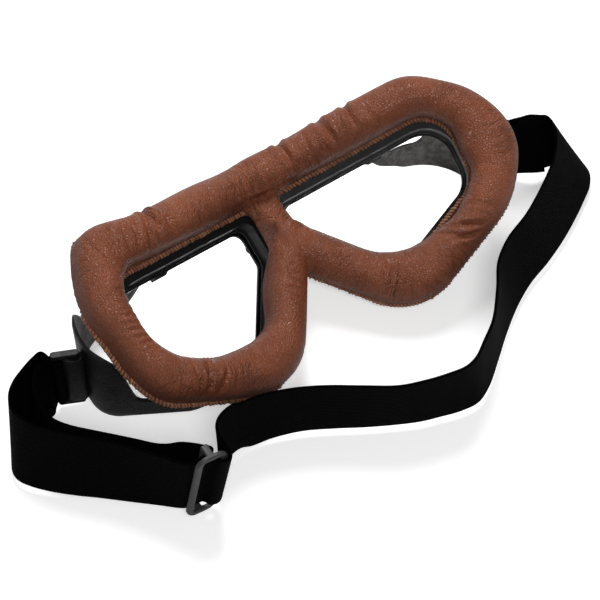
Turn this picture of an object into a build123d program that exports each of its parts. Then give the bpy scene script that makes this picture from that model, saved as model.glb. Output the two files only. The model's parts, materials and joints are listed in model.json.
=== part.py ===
from build123d import *
import os
from math import cos, hypot, radians, sin, tan

# Aviator goggles lying lens side down, with the face side up and the strap looped in front.
# Millimetres. +X runs along the width, +Y towards the brow, +Z up from the surface they lie on.
# Each lobe is drawn flat in its own plane: x outwards, y towards the brow, z towards the face.

# Stance, in degrees
TILT = 26.0
WRAP = 18.0

# One lobe's outline along the middle of the roll
HALF_WIDTH = 90.0
BROW_FALL = 3.0
CHEEK_REACH = 85.0
CHEEK_FALL = 51.0
NOSE_REACH = 33.5
NOSE_FALL = 70.5
NOTCH_FALL = 27.5
TEMPLE_BROW_RADIUS = 22.0
TEMPLE_CHEEK_RADIUS = 20.0
NOSE_RADIUS = 17.0
OPENING_CORNER_RADIUS = 4.0
NOSE_LINE = -3.8
NOSE_GAP = 1.2
BROW_SHELF = 4.0
LEATHER_SHELF = 1.0
NOSE_EASE = 6.5
OVERRUN = 25.0
ROLL_OVERRUN = 14.3

# Padding
ROLL_RADIUS = 8.5
COVER_WALL = 1.3
ROLL_SEAT = 6.0
STEM_RADIUS = 7.2
STEM_DROP = 1.0
CREASE_RADIUS = 1.3
CREASE_DEPTH = 0.8
brow_crease_shares = (0.16, 0.3, 0.42, 0.66)
BASE_LEATHER = 1.0
BASE_MARGIN = 9.4
OPENING_INSET = 8.5
LEATHER_NOSE_EDGE = 2.6

# Eyecup, gasket, lens and rim, from the base leather down
CUP_FLANGE = 1.2
CUP_FLANGE_MARGIN = 5.0
CUP_WALL_HEIGHT = 4.8
CUP_WALL_INSET = 6.0
VENT_LENGTH = 8.0
VENT_HEIGHT = 1.6
VENT_DROP = 0.8
vent_shares = (0.34, 0.5, 0.66)
GASKET = 0.5
GASKET_INSET = 9.3
LENS = 1.8
LENS_FIT = 0.1
LENS_NOSE_EDGE = 4.4
RIM_INSET = 3.8
RIM_LIP = 1.1
RIM_LIP_INSET = 10.0
RIM_SKIRT = 4.3
WALL_FIT = 0.05

# Bridge
BRIDGE_FALL = 21.5
BRIDGE_RADIUS = 6.6
BRIDGE_REACH = 4.7
BRIDGE_LEATHER = 1.4
BRIDGE_PLATE = 0.8
BRIDGE_PLATE_RADIUS = 5.0
BRIDGE_PLATE_REACH = 4.1
BRIDGE_RIVET_OUT = 2.6
RIVET_RADIUS = 0.8
RIVET_HEAD_RADIUS = 1.8
RIVET_HEAD = 0.9
RIVET_GRIP = 0.9

# Temple wings
WING_THICKNESS = 1.6
WING_HEIGHT = 34.0
WING_SIDE_GAP = 10.4
WING_CHEEK_GAP = 1.3
wing_plan_shares = ((0.485, 0.09), (0.984, 0.1), (1.0, 0.654), (0.621, 1.0))
wing_radius_shares = (0.414, 0.199)
WING_SPLIT = 24.0
brow_arm_shares = (
    (0.4, 1.0), (0.52, 1.0), (0.71, 0.4), (0.85, 0.42), (0.95, 1.0),
    (1.2, 1.0), (1.2, 0.0), (0.8, 0.0), (0.65, 0.27), (0.53, 0.7), (0.4, 0.7),
)
cheek_arm_shares = (
    (1.2, 1.0), (0.98, 1.0), (0.955, 0.8), (0.925, 0.45), (0.89, 0.3), (0.76, 0.3), (0.69, 0.38),
    (0.5, 0.38), (0.5, 0.16), (0.63, 0.12), (0.69, 0.0), (1.2, 0.0),
)
LUG_LENGTH = 9.0
LUG_DEPTH = 8.0
LUG_HEIGHT = 4.4
LUG_IN = 5.0
lug_rise_shares = (0.84, 0.27)

# Strap loops at the temples
HINGE_BACK = 30.0
HINGE_OUT = 3.1
LOOP_BAR_RADIUS = 1.2
LOOP_REACH = 8.0
LOOP_RAIL = 2.0
LOOP_TURN = 25.0
LOOP_CLEARANCE = 0.3
TUNNEL_RADIUS = 2.6
TUNNEL_HEIGHT = 15.0
HINGE_FIT = 0.08

# Strap
STRAP_WIDTH = 28.0
STRAP_THICKNESS = 1.2
STRAP_LIFT = 4.7
STRAP_SIDE_REACH = 40.33
STRAP_FRONT = 122.0
SOFT_GAP = 0.3
END_GAP = 0.5
BIGHT_LENGTH = 8.0
SEWN_LENGTH = 12.0
SEWN_TAPER = 7.0
left_bend_shares = (0.703, -0.164)
left_corner_shares = (1.0, -0.377)
front_aim_shares = (-0.674, -0.757)
inner_bend_shares = (0.555, -0.2)
far_bend_shares = ((0.754, -0.475), (0.826, -0.381))
INNER_OFFSET = 4.0
INNER_START = 12.0
INNER_END = 6.0
BEND_DISTANCE = 64.5
SLIDER_TURN = 43.0
SLIDER_AFTER_BEND = 8.5
TURN_AFTER_SLIDER = 11.0
run_shares = (
    (-0.478, -0.664), (-0.333, -0.689), (0.043, -0.959), (0.196, -0.992), (0.42, -0.746),
)
LEFT_BEND_RADIUS = 7.5
LEFT_CORNER_RADIUS = 10.0
SLIDER_BEND_RADIUS = 1.5
INNER_BEND_RADIUS = 7.0
RUN_TURN_RADIUS = 4.0
RUN_EASE_RADIUS = 12.0
RUN_FAR_RADIUS = 5.0

# Slider and the tail sewn on it
SLIDER_SKEW = 10.0
SLIDER_LENGTH = 14.0
SLIDER_BAR = 3.0
SLIDER_BAR_THICKNESS = 1.8
SLIDER_RAIL = 1.8
SLIDER_CORNER = 0.7
TAIL_THICKNESS = 1.0
TAIL_LENGTH = 5.8
TAIL_WIDTH = 27.0
TAIL_TAPER = 2.5
TAIL_FIT = 0.1

# Levels in a lobe's plane, worked out from the stack
base_top = -ROLL_SEAT
cup_top = base_top - BASE_LEATHER
wall_top = cup_top - CUP_FLANGE
wall_foot = wall_top - CUP_WALL_HEIGHT
lens_top = wall_foot - GASKET
lens_foot = lens_top - LENS
rim_foot = lens_foot - RIM_LIP
strap_top = STRAP_LIFT + STRAP_WIDTH


def moved_line(start, end, grow):
    """A side of the outline as a point and a direction, moved outwards."""
    along = (end[0] - start[0], end[1] - start[1])
    length = hypot(*along)
    unit = (along[0] / length, along[1] / length)
    return (start[0] - unit[1] * grow, start[1] + unit[0] * grow), unit


def crossing(first, second):
    """Where two lines cross."""
    (ax, ay), (ux, uy) = first
    (bx, by), (vx, vy) = second
    reach = ((bx - ax) * vy - (by - ay) * vx) / (ux * vy - uy * vx)
    return ax + reach * ux, ay + reach * uy


def lobe_face(grow, shelf=0.0, nose_edge=None, ease=0.0):
    """The lobe's outline grown by grow, with the brow lowered by shelf and the nose line eased outwards."""
    if nose_edge is None:
        nose_edge = max(NOSE_LINE - grow, NOSE_GAP)
    corners = (
        (0, -shelf),
        (HALF_WIDTH, -BROW_FALL - shelf),
        (CHEEK_REACH, -CHEEK_FALL),
        (NOSE_REACH, -NOSE_FALL),
        (0, -NOTCH_FALL),
    )
    sides = [moved_line(a, b, grow) for a, b in zip(corners, corners[1:])]
    sides[-1] = moved_line(corners[-2], corners[-1], grow + ease)
    nose_side = ((nose_edge, 0), (0, 1))
    points = [crossing(nose_side, sides[0])]
    points += [crossing(a, b) for a, b in zip(sides, sides[1:])]
    points.append(crossing(sides[-1], nose_side))
    radii = (
        OPENING_CORNER_RADIUS,
        TEMPLE_BROW_RADIUS + grow,
        TEMPLE_CHEEK_RADIUS + grow,
        NOSE_RADIUS + grow,
        OPENING_CORNER_RADIUS,
    )
    return make_face(FilletPolyline(*points, radius=radii, close=True))


def slab(face, top, foot):
    """A flat face in the lobe's plane given depth between two levels."""
    return extrude(Pos(0, 0, foot) * face, amount=top - foot)


def roll_path():
    """The middle line of the roll, run past the bridge plane at both ends."""
    brow = moved_line((0, 0), (HALF_WIDTH, -BROW_FALL), 0)
    nose = moved_line((NOSE_REACH, -NOSE_FALL), (0, -NOTCH_FALL), 0)
    points = (
        (-ROLL_OVERRUN * brow[1][0], -ROLL_OVERRUN * brow[1][1]),
        (HALF_WIDTH, -BROW_FALL),
        (CHEEK_REACH, -CHEEK_FALL),
        (NOSE_REACH, -NOSE_FALL),
        (ROLL_OVERRUN * nose[1][0], -NOTCH_FALL + ROLL_OVERRUN * nose[1][1]),
    )
    radii = (TEMPLE_BROW_RADIUS, TEMPLE_CHEEK_RADIUS, NOSE_RADIUS)
    return FilletPolyline(*points, radius=radii)


def placed(shape):
    """A lobe's flat drawing set at its wrap and tilt."""
    return Pos(0, 0, rest_height) * Rot(TILT, 0, 0) * Rot(0, -WRAP, 0) * shape


def right_half(shape):
    """What lies on the right of the bridge plane."""
    return split(shape, bisect_by=Plane.YZ, keep=Keep.TOP)


def lobe_ring(outer, inner, top, foot):
    return slab(outer, top, foot) - slab(inner, top, foot)


def padding_form(shrink):
    """The roll and the stem of the bridge, flat where they sit on the base leather."""
    path = roll_path()
    start = Plane(origin=path @ 0, z_dir=path % 0)
    roll = sweep(start * Circle(ROLL_RADIUS - shrink), path=path)
    stem_length = NOTCH_FALL
    stem = Pos(0, -stem_length / 2, -STEM_DROP) * Rot(90, 0, 0) * Cylinder(STEM_RADIUS - shrink, stem_length)
    seat = Plane(origin=(0, 0, base_top), z_dir=(0, 0, 1))
    return split(roll + stem, bisect_by=seat, keep=Keep.TOP)


def brow_creases():
    """Rings that press the brow's cross creases into the roll."""
    ring_radius = ROLL_RADIUS + CREASE_RADIUS - CREASE_DEPTH
    ring = Rot(0, 90, 0) * Torus(ring_radius, CREASE_RADIUS)
    return [Pos(share * HALF_WIDTH, -share * BROW_FALL, 0) * ring for share in brow_crease_shares]


def make_padding():
    form = padding_form(0)
    core = padding_form(COVER_WALL)
    cover = form - core
    for crease in brow_creases():
        cover = cover - crease
    return right_half(placed(cover)), right_half(placed(core))


def make_base_leather():
    outer = lobe_face(BASE_MARGIN, nose_edge=-OVERRUN)
    opening = lobe_face(-OPENING_INSET, shelf=LEATHER_SHELF, nose_edge=LEATHER_NOSE_EDGE, ease=NOSE_EASE)
    return right_half(placed(lobe_ring(outer, opening, base_top, cup_top)))


def frame_face(grow, nose_edge=None):
    """The outline of the eyecup, the lens and the rim, grown by grow."""
    return lobe_face(grow, shelf=BROW_SHELF, nose_edge=nose_edge, ease=NOSE_EASE)


def make_eyecup():
    opening = frame_face(-OPENING_INSET)
    flange = lobe_ring(lobe_face(CUP_FLANGE_MARGIN, shelf=BROW_SHELF), opening, cup_top, wall_top)
    wall = lobe_ring(frame_face(-CUP_WALL_INSET), opening, wall_top, wall_foot)
    cup = flange + wall
    for share in vent_shares:
        wall_middle = (OPENING_INSET + CUP_WALL_INSET) / 2
        vent_y = -share * BROW_FALL - BROW_SHELF - wall_middle
        vent_z = wall_top - VENT_DROP - VENT_HEIGHT / 2
        cutter = Box(VENT_LENGTH, OPENING_INSET, VENT_HEIGHT)
        cup = cup - Pos(share * HALF_WIDTH, vent_y, vent_z) * cutter
    return placed(cup)


def make_gasket():
    outer = frame_face(-CUP_WALL_INSET - LENS_FIT)
    inner = frame_face(-GASKET_INSET)
    return placed(lobe_ring(outer, inner, wall_foot, lens_top))


def make_lens():
    pane = frame_face(-CUP_WALL_INSET - LENS_FIT, nose_edge=LENS_NOSE_EDGE + LENS_FIT)
    return placed(slab(pane, lens_top, lens_foot))


def rim_hollow():
    """The room inside the rim for the wall, the gasket and the lens, and the opening."""
    wall_room = slab(frame_face(-CUP_WALL_INSET + WALL_FIT), base_top, lens_top)
    pane_room = slab(frame_face(-CUP_WALL_INSET, nose_edge=LENS_NOSE_EDGE), base_top, lens_foot)
    opening = slab(frame_face(-RIM_LIP_INSET), base_top, rim_foot)
    return wall_room + pane_room + opening


def rim_block():
    return slab(frame_face(-RIM_INSET), rim_foot + RIM_SKIRT + RIM_LIP, rim_foot)


def make_rim():
    return placed(rim_block() - rim_hollow())


def wing_size():
    """The wing's reach and depth in plan, clear of the rim."""
    box = placed(rim_block()).bounding_box()
    return box.max.X + WING_SIDE_GAP, WING_CHEEK_GAP - box.min.Y


def wing_points():
    return [(share_x * wing_reach, -share_y * wing_depth) for share_x, share_y in wing_plan_shares]


def wing_arm(profile_shares, side):
    """One arm of the wing, cut to its side view."""
    path = FilletPolyline(*wing_points(), radius=[share * wing_depth for share in wing_radius_shares])
    band = extrude(trace(path, line_width=WING_THICKNESS), amount=WING_HEIGHT)
    profile = [(share_x * wing_reach, share_z * WING_HEIGHT) for share_x, share_z in profile_shares]
    face = Plane.XZ * make_face(Polyline(*profile, close=True))
    middle = Pos(0, -WING_SPLIT, 0) * extrude(face, amount=side * wing_depth)
    return band & middle


def hinge_place():
    """The loop's hinge line, clear of the wing's outer face."""
    points = wing_points()
    share = (HINGE_BACK + points[1][1]) / (points[1][1] - points[2][1])
    wing_x = points[1][0] + share * (points[2][0] - points[1][0])
    return wing_x + HINGE_OUT, -HINGE_BACK


def make_wing():
    """The band with the tunnel that holds the loop's inner bar."""
    wing = wing_arm(brow_arm_shares, -1) + wing_arm(cheek_arm_shares, 1)
    hinge_x, hinge_y = hinge_place()
    middle = (STRAP_LIFT + strap_top) / 2
    tunnel = Pos(hinge_x, hinge_y, middle) * Cylinder(TUNNEL_RADIUS, TUNNEL_HEIGHT)
    bore = Pos(hinge_x, hinge_y, middle) * Cylinder(LOOP_BAR_RADIUS + HINGE_FIT, TUNNEL_HEIGHT)
    return wing + tunnel - bore


def mirrored(shape):
    return mirror(shape, about=Plane.YZ)


def lug_places():
    """Where each end of the wing meets its lug: the point, the way out and the height."""
    points = wing_points()
    places = []
    ends = ((points[0], points[1]), (points[3], points[2]))
    for (end, towards), rise in zip(ends, lug_rise_shares):
        along = moved_line(end, towards, 0)[1]
        x = end[0] + along[0] * LUG_IN
        y = end[1] + along[1] * LUG_IN
        places.append((x, y, along, rise * WING_HEIGHT))
    return places


def turned_frame(x, y, along, height):
    """Local x along the given plan direction, z up."""
    return Plane(origin=(x, y, height), x_dir=(along[0], along[1], 0), z_dir=(0, 0, 1))


def loop_frame():
    """Local x outwards from the hinge, along the strap where it leaves the loop."""
    hinge_x, hinge_y = hinge_place()
    out = (cos(radians(LOOP_TURN)), -sin(radians(LOOP_TURN)))
    return turned_frame(hinge_x, hinge_y, out, 0)


def make_loop():
    """A closed rectangular ring standing on end."""
    foot = STRAP_LIFT - LOOP_CLEARANCE - LOOP_RAIL
    top = strap_top + LOOP_CLEARANCE + LOOP_RAIL
    height = top - foot
    middle = (top + foot) / 2
    inner_bar = Pos(0, 0, middle) * Cylinder(LOOP_BAR_RADIUS, height)
    outer_bar = Pos(LOOP_REACH, 0, middle) * Cylinder(LOOP_BAR_RADIUS, height)
    rail = Box(LOOP_REACH, 2 * LOOP_BAR_RADIUS, LOOP_RAIL)
    low_rail = Pos(LOOP_REACH / 2, 0, foot + LOOP_RAIL / 2) * rail
    high_rail = Pos(LOOP_REACH / 2, 0, top - LOOP_RAIL / 2) * rail
    return inner_bar + outer_bar + low_rail + high_rail


def ribbon(path):
    """Strap standing on its edge along a plan path."""
    return extrude(Pos(0, 0, STRAP_LIFT) * trace(path, line_width=STRAP_THICKNESS), amount=STRAP_WIDTH)


def make_bight():
    """The strap round the loop's outer bar, with two layers leaving side by side."""
    inside = LOOP_BAR_RADIUS + SOFT_GAP
    outside = inside + STRAP_THICKNESS
    end = LOOP_REACH + BIGHT_LENGTH
    bar = Pos(LOOP_REACH, 0)
    legs = Pos((LOOP_REACH + end) / 2, 0)
    outer = bar * Circle(outside) + legs * Rectangle(BIGHT_LENGTH, 2 * outside)
    inner = bar * Circle(inside) + legs * Rectangle(BIGHT_LENGTH, 2 * inside)
    return extrude(Pos(0, 0, STRAP_LIFT) * (outer - inner), amount=STRAP_WIDTH)


def make_sewn_end():
    """The strap round the loop's outer bar, its end laid back and sewn down."""
    inside = LOOP_BAR_RADIUS + SOFT_GAP
    outside = inside + STRAP_THICKNESS
    taper = LOOP_REACH + SEWN_TAPER
    end = taper + SEWN_LENGTH
    sleeve = Polyline(
        (LOOP_REACH, outside), (taper, STRAP_THICKNESS), (end, STRAP_THICKNESS),
        (end, -STRAP_THICKNESS), (taper, -STRAP_THICKNESS), (LOOP_REACH, -outside), close=True,
    )
    eye = Polyline((LOOP_REACH, inside), (taper - SOFT_GAP, 0), (LOOP_REACH, -inside), close=True)
    outer = Pos(LOOP_REACH, 0) * Circle(outside) + make_face(sleeve)
    inner = Pos(LOOP_REACH, 0) * Circle(inside) + make_face(eye)
    return extrude(Pos(0, 0, STRAP_LIFT) * (outer - inner), amount=STRAP_WIDTH)


def strap_point(shares):
    reach = hinge_place()[0] + STRAP_SIDE_REACH
    return shares[0] * reach, shares[1] * STRAP_FRONT


def beside_loop(side, shares):
    """A plan point of the strap out past a loop's hinge."""
    return side * (hinge_place()[0] + shares[0] * STRAP_SIDE_REACH), shares[1] * STRAP_FRONT


def from_loop(side, out, across):
    """A plan point out from a hinge and across the way the strap leaves it."""
    hinge_x, hinge_y = hinge_place()
    turn = radians(LOOP_TURN)
    x = hinge_x + out * cos(turn) + across * sin(turn)
    y_step = out * sin(turn) - across * cos(turn)
    return side * x, hinge_y - side * y_step


def front_line():
    """Corner and unit direction of the straight stretch that the slider runs on."""
    corner = beside_loop(-1, left_corner_shares)
    return moved_line(corner, strap_point(front_aim_shares), 0)


def along_front(distance, inwards=0.0):
    corner, unit = front_line()
    x = corner[0] + distance * unit[0] - inwards * unit[1]
    y = corner[1] + distance * unit[1] + inwards * unit[0]
    return x, y


def slider_line():
    """Where the strap bends into the slider, and its direction from there."""
    unit = front_line()[1]
    turn = radians(SLIDER_TURN)
    along = (unit[0] * cos(turn) - unit[1] * sin(turn), unit[0] * sin(turn) + unit[1] * cos(turn))
    return along_front(BEND_DISTANCE), along


def along_slider(distance):
    bend, unit = slider_line()
    return bend[0] + distance * unit[0], bend[1] + distance * unit[1]


def make_outer_layer():
    """Strap from the left loop round the bend to the middle of the slider."""
    layer = LOOP_BAR_RADIUS + SOFT_GAP + STRAP_THICKNESS / 2
    start = from_loop(-1, LOOP_REACH + BIGHT_LENGTH + END_GAP, -layer)
    points = (
        start,
        beside_loop(-1, left_bend_shares),
        along_front(0),
        along_front(BEND_DISTANCE),
        along_slider(SLIDER_AFTER_BEND),
    )
    return ribbon(FilletPolyline(*points, radius=(LEFT_BEND_RADIUS, LEFT_CORNER_RADIUS, SLIDER_BEND_RADIUS)))


def make_inner_layer():
    """Strap from the left loop back to the tail, inside the outer layer."""
    layer = LOOP_BAR_RADIUS + SOFT_GAP + STRAP_THICKNESS / 2
    start = from_loop(-1, LOOP_REACH + BIGHT_LENGTH + END_GAP, layer)
    points = (
        start,
        beside_loop(-1, inner_bend_shares),
        along_front(INNER_START, INNER_OFFSET),
        along_front(BEND_DISTANCE - INNER_END, INNER_OFFSET),
    )
    return ribbon(FilletPolyline(*points, radius=(INNER_BEND_RADIUS, INNER_BEND_RADIUS)))


def make_long_run():
    """Strap from the slider round the front and the far bend to the right loop."""
    end = from_loop(1, LOOP_REACH + SEWN_TAPER + SEWN_LENGTH + END_GAP, 0)
    points = [along_slider(SLIDER_AFTER_BEND), along_slider(SLIDER_AFTER_BEND + TURN_AFTER_SLIDER)]
    points += [strap_point(shares) for shares in run_shares]
    points += [beside_loop(1, shares) for shares in far_bend_shares]
    points.append(end)
    radii = (
        RUN_TURN_RADIUS, RUN_TURN_RADIUS, RUN_EASE_RADIUS, RUN_EASE_RADIUS,
        RUN_EASE_RADIUS, RUN_EASE_RADIUS, RUN_FAR_RADIUS, RUN_FAR_RADIUS,
    )
    return ribbon(FilletPolyline(*points, radius=radii))


def slider_frame():
    """Local x along the strap, y towards the goggles, z up, at the slider's middle."""
    x, y = along_slider(SLIDER_AFTER_BEND)
    return turned_frame(x, y, slider_line()[1], STRAP_LIFT + STRAP_WIDTH / 2)


def front_bar_middle():
    return -(STRAP_THICKNESS / 2 + SOFT_GAP + SLIDER_BAR_THICKNESS / 2)


def back_bar_middle():
    strap_and_tail = STRAP_THICKNESS / 2 + SOFT_GAP + TAIL_THICKNESS + TAIL_FIT
    return strap_and_tail + SLIDER_BAR_THICKNESS / 2


def make_slider():
    """Two bars in front of the strap, one behind it, and the rails that join them."""
    skew = radians(SLIDER_SKEW)
    half_room = (STRAP_WIDTH / 2 + SOFT_GAP + SLIDER_LENGTH / 2 * sin(skew)) / cos(skew)
    height = 2 * (half_room + SLIDER_RAIL)
    front = front_bar_middle()
    back = back_bar_middle()
    rail_depth = back - front + SLIDER_BAR_THICKNESS
    rail_middle = (back + front) / 2
    bar = Box(SLIDER_BAR, SLIDER_BAR_THICKNESS, height - SLIDER_RAIL)
    rail = Box(SLIDER_LENGTH, rail_depth, SLIDER_RAIL)
    rail = fillet(rail.edges().filter_by(Axis.Y), SLIDER_CORNER)
    body = Pos(0, rail_middle, half_room + SLIDER_RAIL / 2) * rail
    body += Pos(0, rail_middle, -half_room - SLIDER_RAIL / 2) * rail
    for side in (-1, 1):
        body += Pos(side * (SLIDER_LENGTH - SLIDER_BAR) / 2, front, 0) * bar
    body += Pos(0, back, 0) * bar
    return slider_frame() * Rot(0, SLIDER_SKEW, 0) * body


def make_tail():
    """The strap's end folded round the slider's back bar and sewn to itself."""
    near = STRAP_THICKNESS / 2 + SOFT_GAP
    far = near + 2 * (TAIL_THICKNESS + TAIL_FIT) + SLIDER_BAR_THICKNESS
    folded = near + 2 * TAIL_THICKNESS
    eye = SLIDER_BAR / 2 / cos(radians(SLIDER_SKEW)) + TAIL_FIT
    skin = eye + TAIL_THICKNESS
    outline = Polyline(
        (-TAIL_LENGTH, near), (skin, near), (skin, far), (-eye, far),
        (-skin - TAIL_TAPER, folded), (-TAIL_LENGTH, folded), close=True,
    )
    hole = Polyline(
        (-eye - TAIL_TAPER / 2, near + TAIL_THICKNESS), (eye, near + TAIL_THICKNESS),
        (eye, far - TAIL_THICKNESS), (-eye, far - TAIL_THICKNESS), close=True,
    )
    profile = make_face(outline) - make_face(hole)
    skew = radians(SLIDER_SKEW)
    lean = (sin(skew), 0, cos(skew))
    start = Pos(-TAIL_WIDTH / 2 * tan(skew), 0, -TAIL_WIDTH / 2)
    return slider_frame() * extrude(start * profile, amount=TAIL_WIDTH / cos(skew), dir=lean)


def bridge_half(reach, radius, top, thickness):
    """Half of a strip with round ends, lying on the front of one rim."""
    end_middle = reach - radius
    strip = Pos(end_middle - OVERRUN / 2, -BRIDGE_FALL) * Rectangle(OVERRUN, 2 * radius)
    shape = Pos(end_middle, -BRIDGE_FALL) * Circle(radius) + strip
    return right_half(placed(slab(shape, top, top - thickness)))


def make_bridge():
    plate_foot = rim_foot - BRIDGE_PLATE
    leather_foot = plate_foot - BRIDGE_LEATHER
    hole = placed(Pos(BRIDGE_RIVET_OUT, -BRIDGE_FALL, rim_foot) * Cylinder(RIVET_RADIUS, OVERRUN))
    plate = bridge_half(BRIDGE_PLATE_REACH, BRIDGE_PLATE_RADIUS, rim_foot, BRIDGE_PLATE) - hole
    leather = bridge_half(BRIDGE_REACH, BRIDGE_RADIUS, plate_foot, BRIDGE_LEATHER) - hole
    shank_top = rim_foot + RIVET_GRIP
    shank_length = shank_top - leather_foot
    shank = Pos(0, 0, shank_top - shank_length / 2) * Cylinder(RIVET_RADIUS, shank_length)
    head = Pos(0, 0, leather_foot - RIVET_HEAD / 2) * Cylinder(RIVET_HEAD_RADIUS, RIVET_HEAD)
    rivet = placed(Pos(BRIDGE_RIVET_OUT, -BRIDGE_FALL) * (shank + head))
    return plate, leather, rivet


def make_lugs():
    """Blocks that carry the wing's ends on the rim, before they are cut to it."""
    lugs = []
    for x, y, along, height in lug_places():
        frame = turned_frame(x, y, along, height)
        inwards = (LUG_DEPTH + WING_THICKNESS) / 2
        side = -1 if y > -WING_SPLIT else 1
        lugs.append(frame * Pos(0, side * inwards, 0) * Box(LUG_LENGTH, LUG_DEPTH, LUG_HEIGHT))
    return lugs


def make_wing_rivets():
    """Rivets through the wing's ends into the lugs, and the holes for them."""
    rivets = []
    for x, y, along, height in lug_places():
        frame = turned_frame(x, y, along, height)
        side = -1 if y > -WING_SPLIT else 1
        length = WING_THICKNESS + 2 * RIVET_GRIP
        shank = Pos(0, side * RIVET_GRIP, 0) * Rot(90, 0, 0) * Cylinder(RIVET_RADIUS, length)
        head_y = -side * (WING_THICKNESS + RIVET_HEAD) / 2
        head = Pos(0, head_y, 0) * Rot(90, 0, 0) * Cylinder(RIVET_HEAD_RADIUS, RIVET_HEAD)
        rivets.append(frame * (shank + head))
    return rivets


rest_height = 0.0
rest_height = -make_rim().bounding_box().min.Z
wing_reach, wing_depth = wing_size()

cover, core = make_padding()
base_leather = make_base_leather()
eyecup = make_eyecup()
gasket = make_gasket()
lens = make_lens()
rim = make_rim()
wing = make_wing()
wing_rivets = make_wing_rivets()
hollow = placed(rim_hollow())
cup_room = placed(slab(lobe_face(BASE_MARGIN + OVERRUN, nose_edge=-OVERRUN), OVERRUN, wall_top))
for lug in make_lugs():
    rim = rim + (lug - hollow - cup_room)
for rivet in wing_rivets:
    rim = rim - rivet
    wing = wing - rivet
plate, bridge_leather, bridge_rivet = make_bridge()
rim = rim - bridge_rivet

frame = loop_frame()
loop = frame * make_loop()
sewn_end = frame * make_sewn_end()
bight = Rot(0, 0, 180) * (Pos(0, 2 * HINGE_BACK, 0) * (frame * make_bight()))

nodes = {
    "right_padding_cover": cover,
    "left_padding_cover": mirrored(cover),
    "right_foam_core": core,
    "left_foam_core": mirrored(core),
    "right_base_leather": base_leather,
    "left_base_leather": mirrored(base_leather),
    "right_eyecup": eyecup,
    "left_eyecup": mirrored(eyecup),
    "right_lens_gasket": gasket,
    "left_lens_gasket": mirrored(gasket),
    "right_lens": lens,
    "left_lens": mirrored(lens),
    "right_lens_rim": rim,
    "left_lens_rim": mirrored(rim),
    "right_temple_wing": wing,
    "left_temple_wing": mirrored(wing),
    "right_wing_rivets": wing_rivets[0] + wing_rivets[1],
    "left_wing_rivets": mirrored(wing_rivets[0]) + mirrored(wing_rivets[1]),
    "bridge_plate": plate + mirrored(plate),
    "bridge_leather": bridge_leather + mirrored(bridge_leather),
    "bridge_rivets": bridge_rivet + mirrored(bridge_rivet),
    "right_strap_loop": loop,
    "left_strap_loop": Rot(0, 0, 180) * (Pos(0, 2 * HINGE_BACK, 0) * loop),
    "strap_sewn_end": sewn_end,
    "strap_bight": bight,
    "strap_outer_layer": make_outer_layer(),
    "strap_inner_layer": make_inner_layer(),
    "strap_long_run": make_long_run(),
    "strap_tail": make_tail(),
    "strap_slider": make_slider(),
}

boxes = [shape.bounding_box() for shape in nodes.values()]
low = [min(tuple(box.min)[axis] for box in boxes) for axis in range(3)]
high = [max(tuple(box.max)[axis] for box in boxes) for axis in range(3)]
to_origin = Pos(-(low[0] + high[0]) / 2, -(low[1] + high[1]) / 2, -low[2])
print("size", [round(b - a, 2) for a, b in zip(low, high)])
print("moved to the origin by", to_origin.position)
print("rest height", round(rest_height, 3))

os.makedirs("parts", exist_ok=True)
for name, shape in nodes.items():
    export_step(to_origin * shape, f"parts/{name}.step")
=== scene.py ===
"""Looks for a pair of aviator goggles, laid out as a Blender add-on and run as a script.

Lengths are in millimetres unless a comment says otherwise. A lobe is one eye's half of the goggles.
In a lobe's own plane x points outwards, y to the brow and z up, and z is 0 at the roll's middle.
"""

import json
import math

import bmesh
import bpy
import numpy as np
from bpy.props import FloatProperty, FloatVectorProperty, IntProperty, PointerProperty
from mathutils import Euler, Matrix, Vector
from mathutils.kdtree import KDTree


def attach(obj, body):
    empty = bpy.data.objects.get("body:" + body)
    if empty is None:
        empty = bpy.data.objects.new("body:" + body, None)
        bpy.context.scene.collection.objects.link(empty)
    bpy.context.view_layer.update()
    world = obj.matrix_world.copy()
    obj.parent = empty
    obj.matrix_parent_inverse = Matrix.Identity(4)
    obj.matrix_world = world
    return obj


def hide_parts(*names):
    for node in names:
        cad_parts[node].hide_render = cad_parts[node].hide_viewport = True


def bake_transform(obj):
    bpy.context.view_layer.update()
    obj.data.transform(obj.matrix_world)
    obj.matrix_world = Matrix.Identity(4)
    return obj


bl_info = {
    "name": "Aviator goggles",
    "version": (1, 0, 0),
    "blender": (4, 5, 0),
    "location": "View3D > Sidebar > Goggles",
    "description": "Builds the padding, leather, strap and stage of a pair of aviator goggles",
    "category": "Object",
}

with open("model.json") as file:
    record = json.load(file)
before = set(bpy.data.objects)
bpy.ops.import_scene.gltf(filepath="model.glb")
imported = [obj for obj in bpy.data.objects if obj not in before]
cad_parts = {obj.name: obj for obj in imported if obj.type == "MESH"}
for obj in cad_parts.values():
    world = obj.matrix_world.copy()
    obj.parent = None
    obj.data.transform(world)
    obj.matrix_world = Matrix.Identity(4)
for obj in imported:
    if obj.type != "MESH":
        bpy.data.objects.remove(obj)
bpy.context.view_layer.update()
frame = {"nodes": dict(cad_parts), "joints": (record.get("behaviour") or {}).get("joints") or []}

MM = 0.001
SIDES = (("right", 1), ("left", -1))

# How the lobes lie, in degrees, and the middle line of the roll
TILT, WRAP = 26.0, 18.0
REST_HEIGHT = 34.793
ROLL_CORNERS = ((0, 0), (90, -3), (85, -51), (33.5, -70.5), (0, -27.5))
CORNER_RADII = (22, 20, 17)

# The goggles' own frame, whose middle lies between the two hinges
HINGE = (97.67, -30.0)
JOINTS = {joint["name"]: joint for joint in frame["joints"]}
RIGHT_HINGE, LEFT_HINGE = (Vector(JOINTS[f"{name}_loop_swing"]["pos_m"]) for name, _ in SIDES)
SHIFT = np.array([(RIGHT_HINGE.x + LEFT_HINGE.x) / 2 / MM, RIGHT_HINGE.y / MM - HINGE[1], 0.0])


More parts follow.
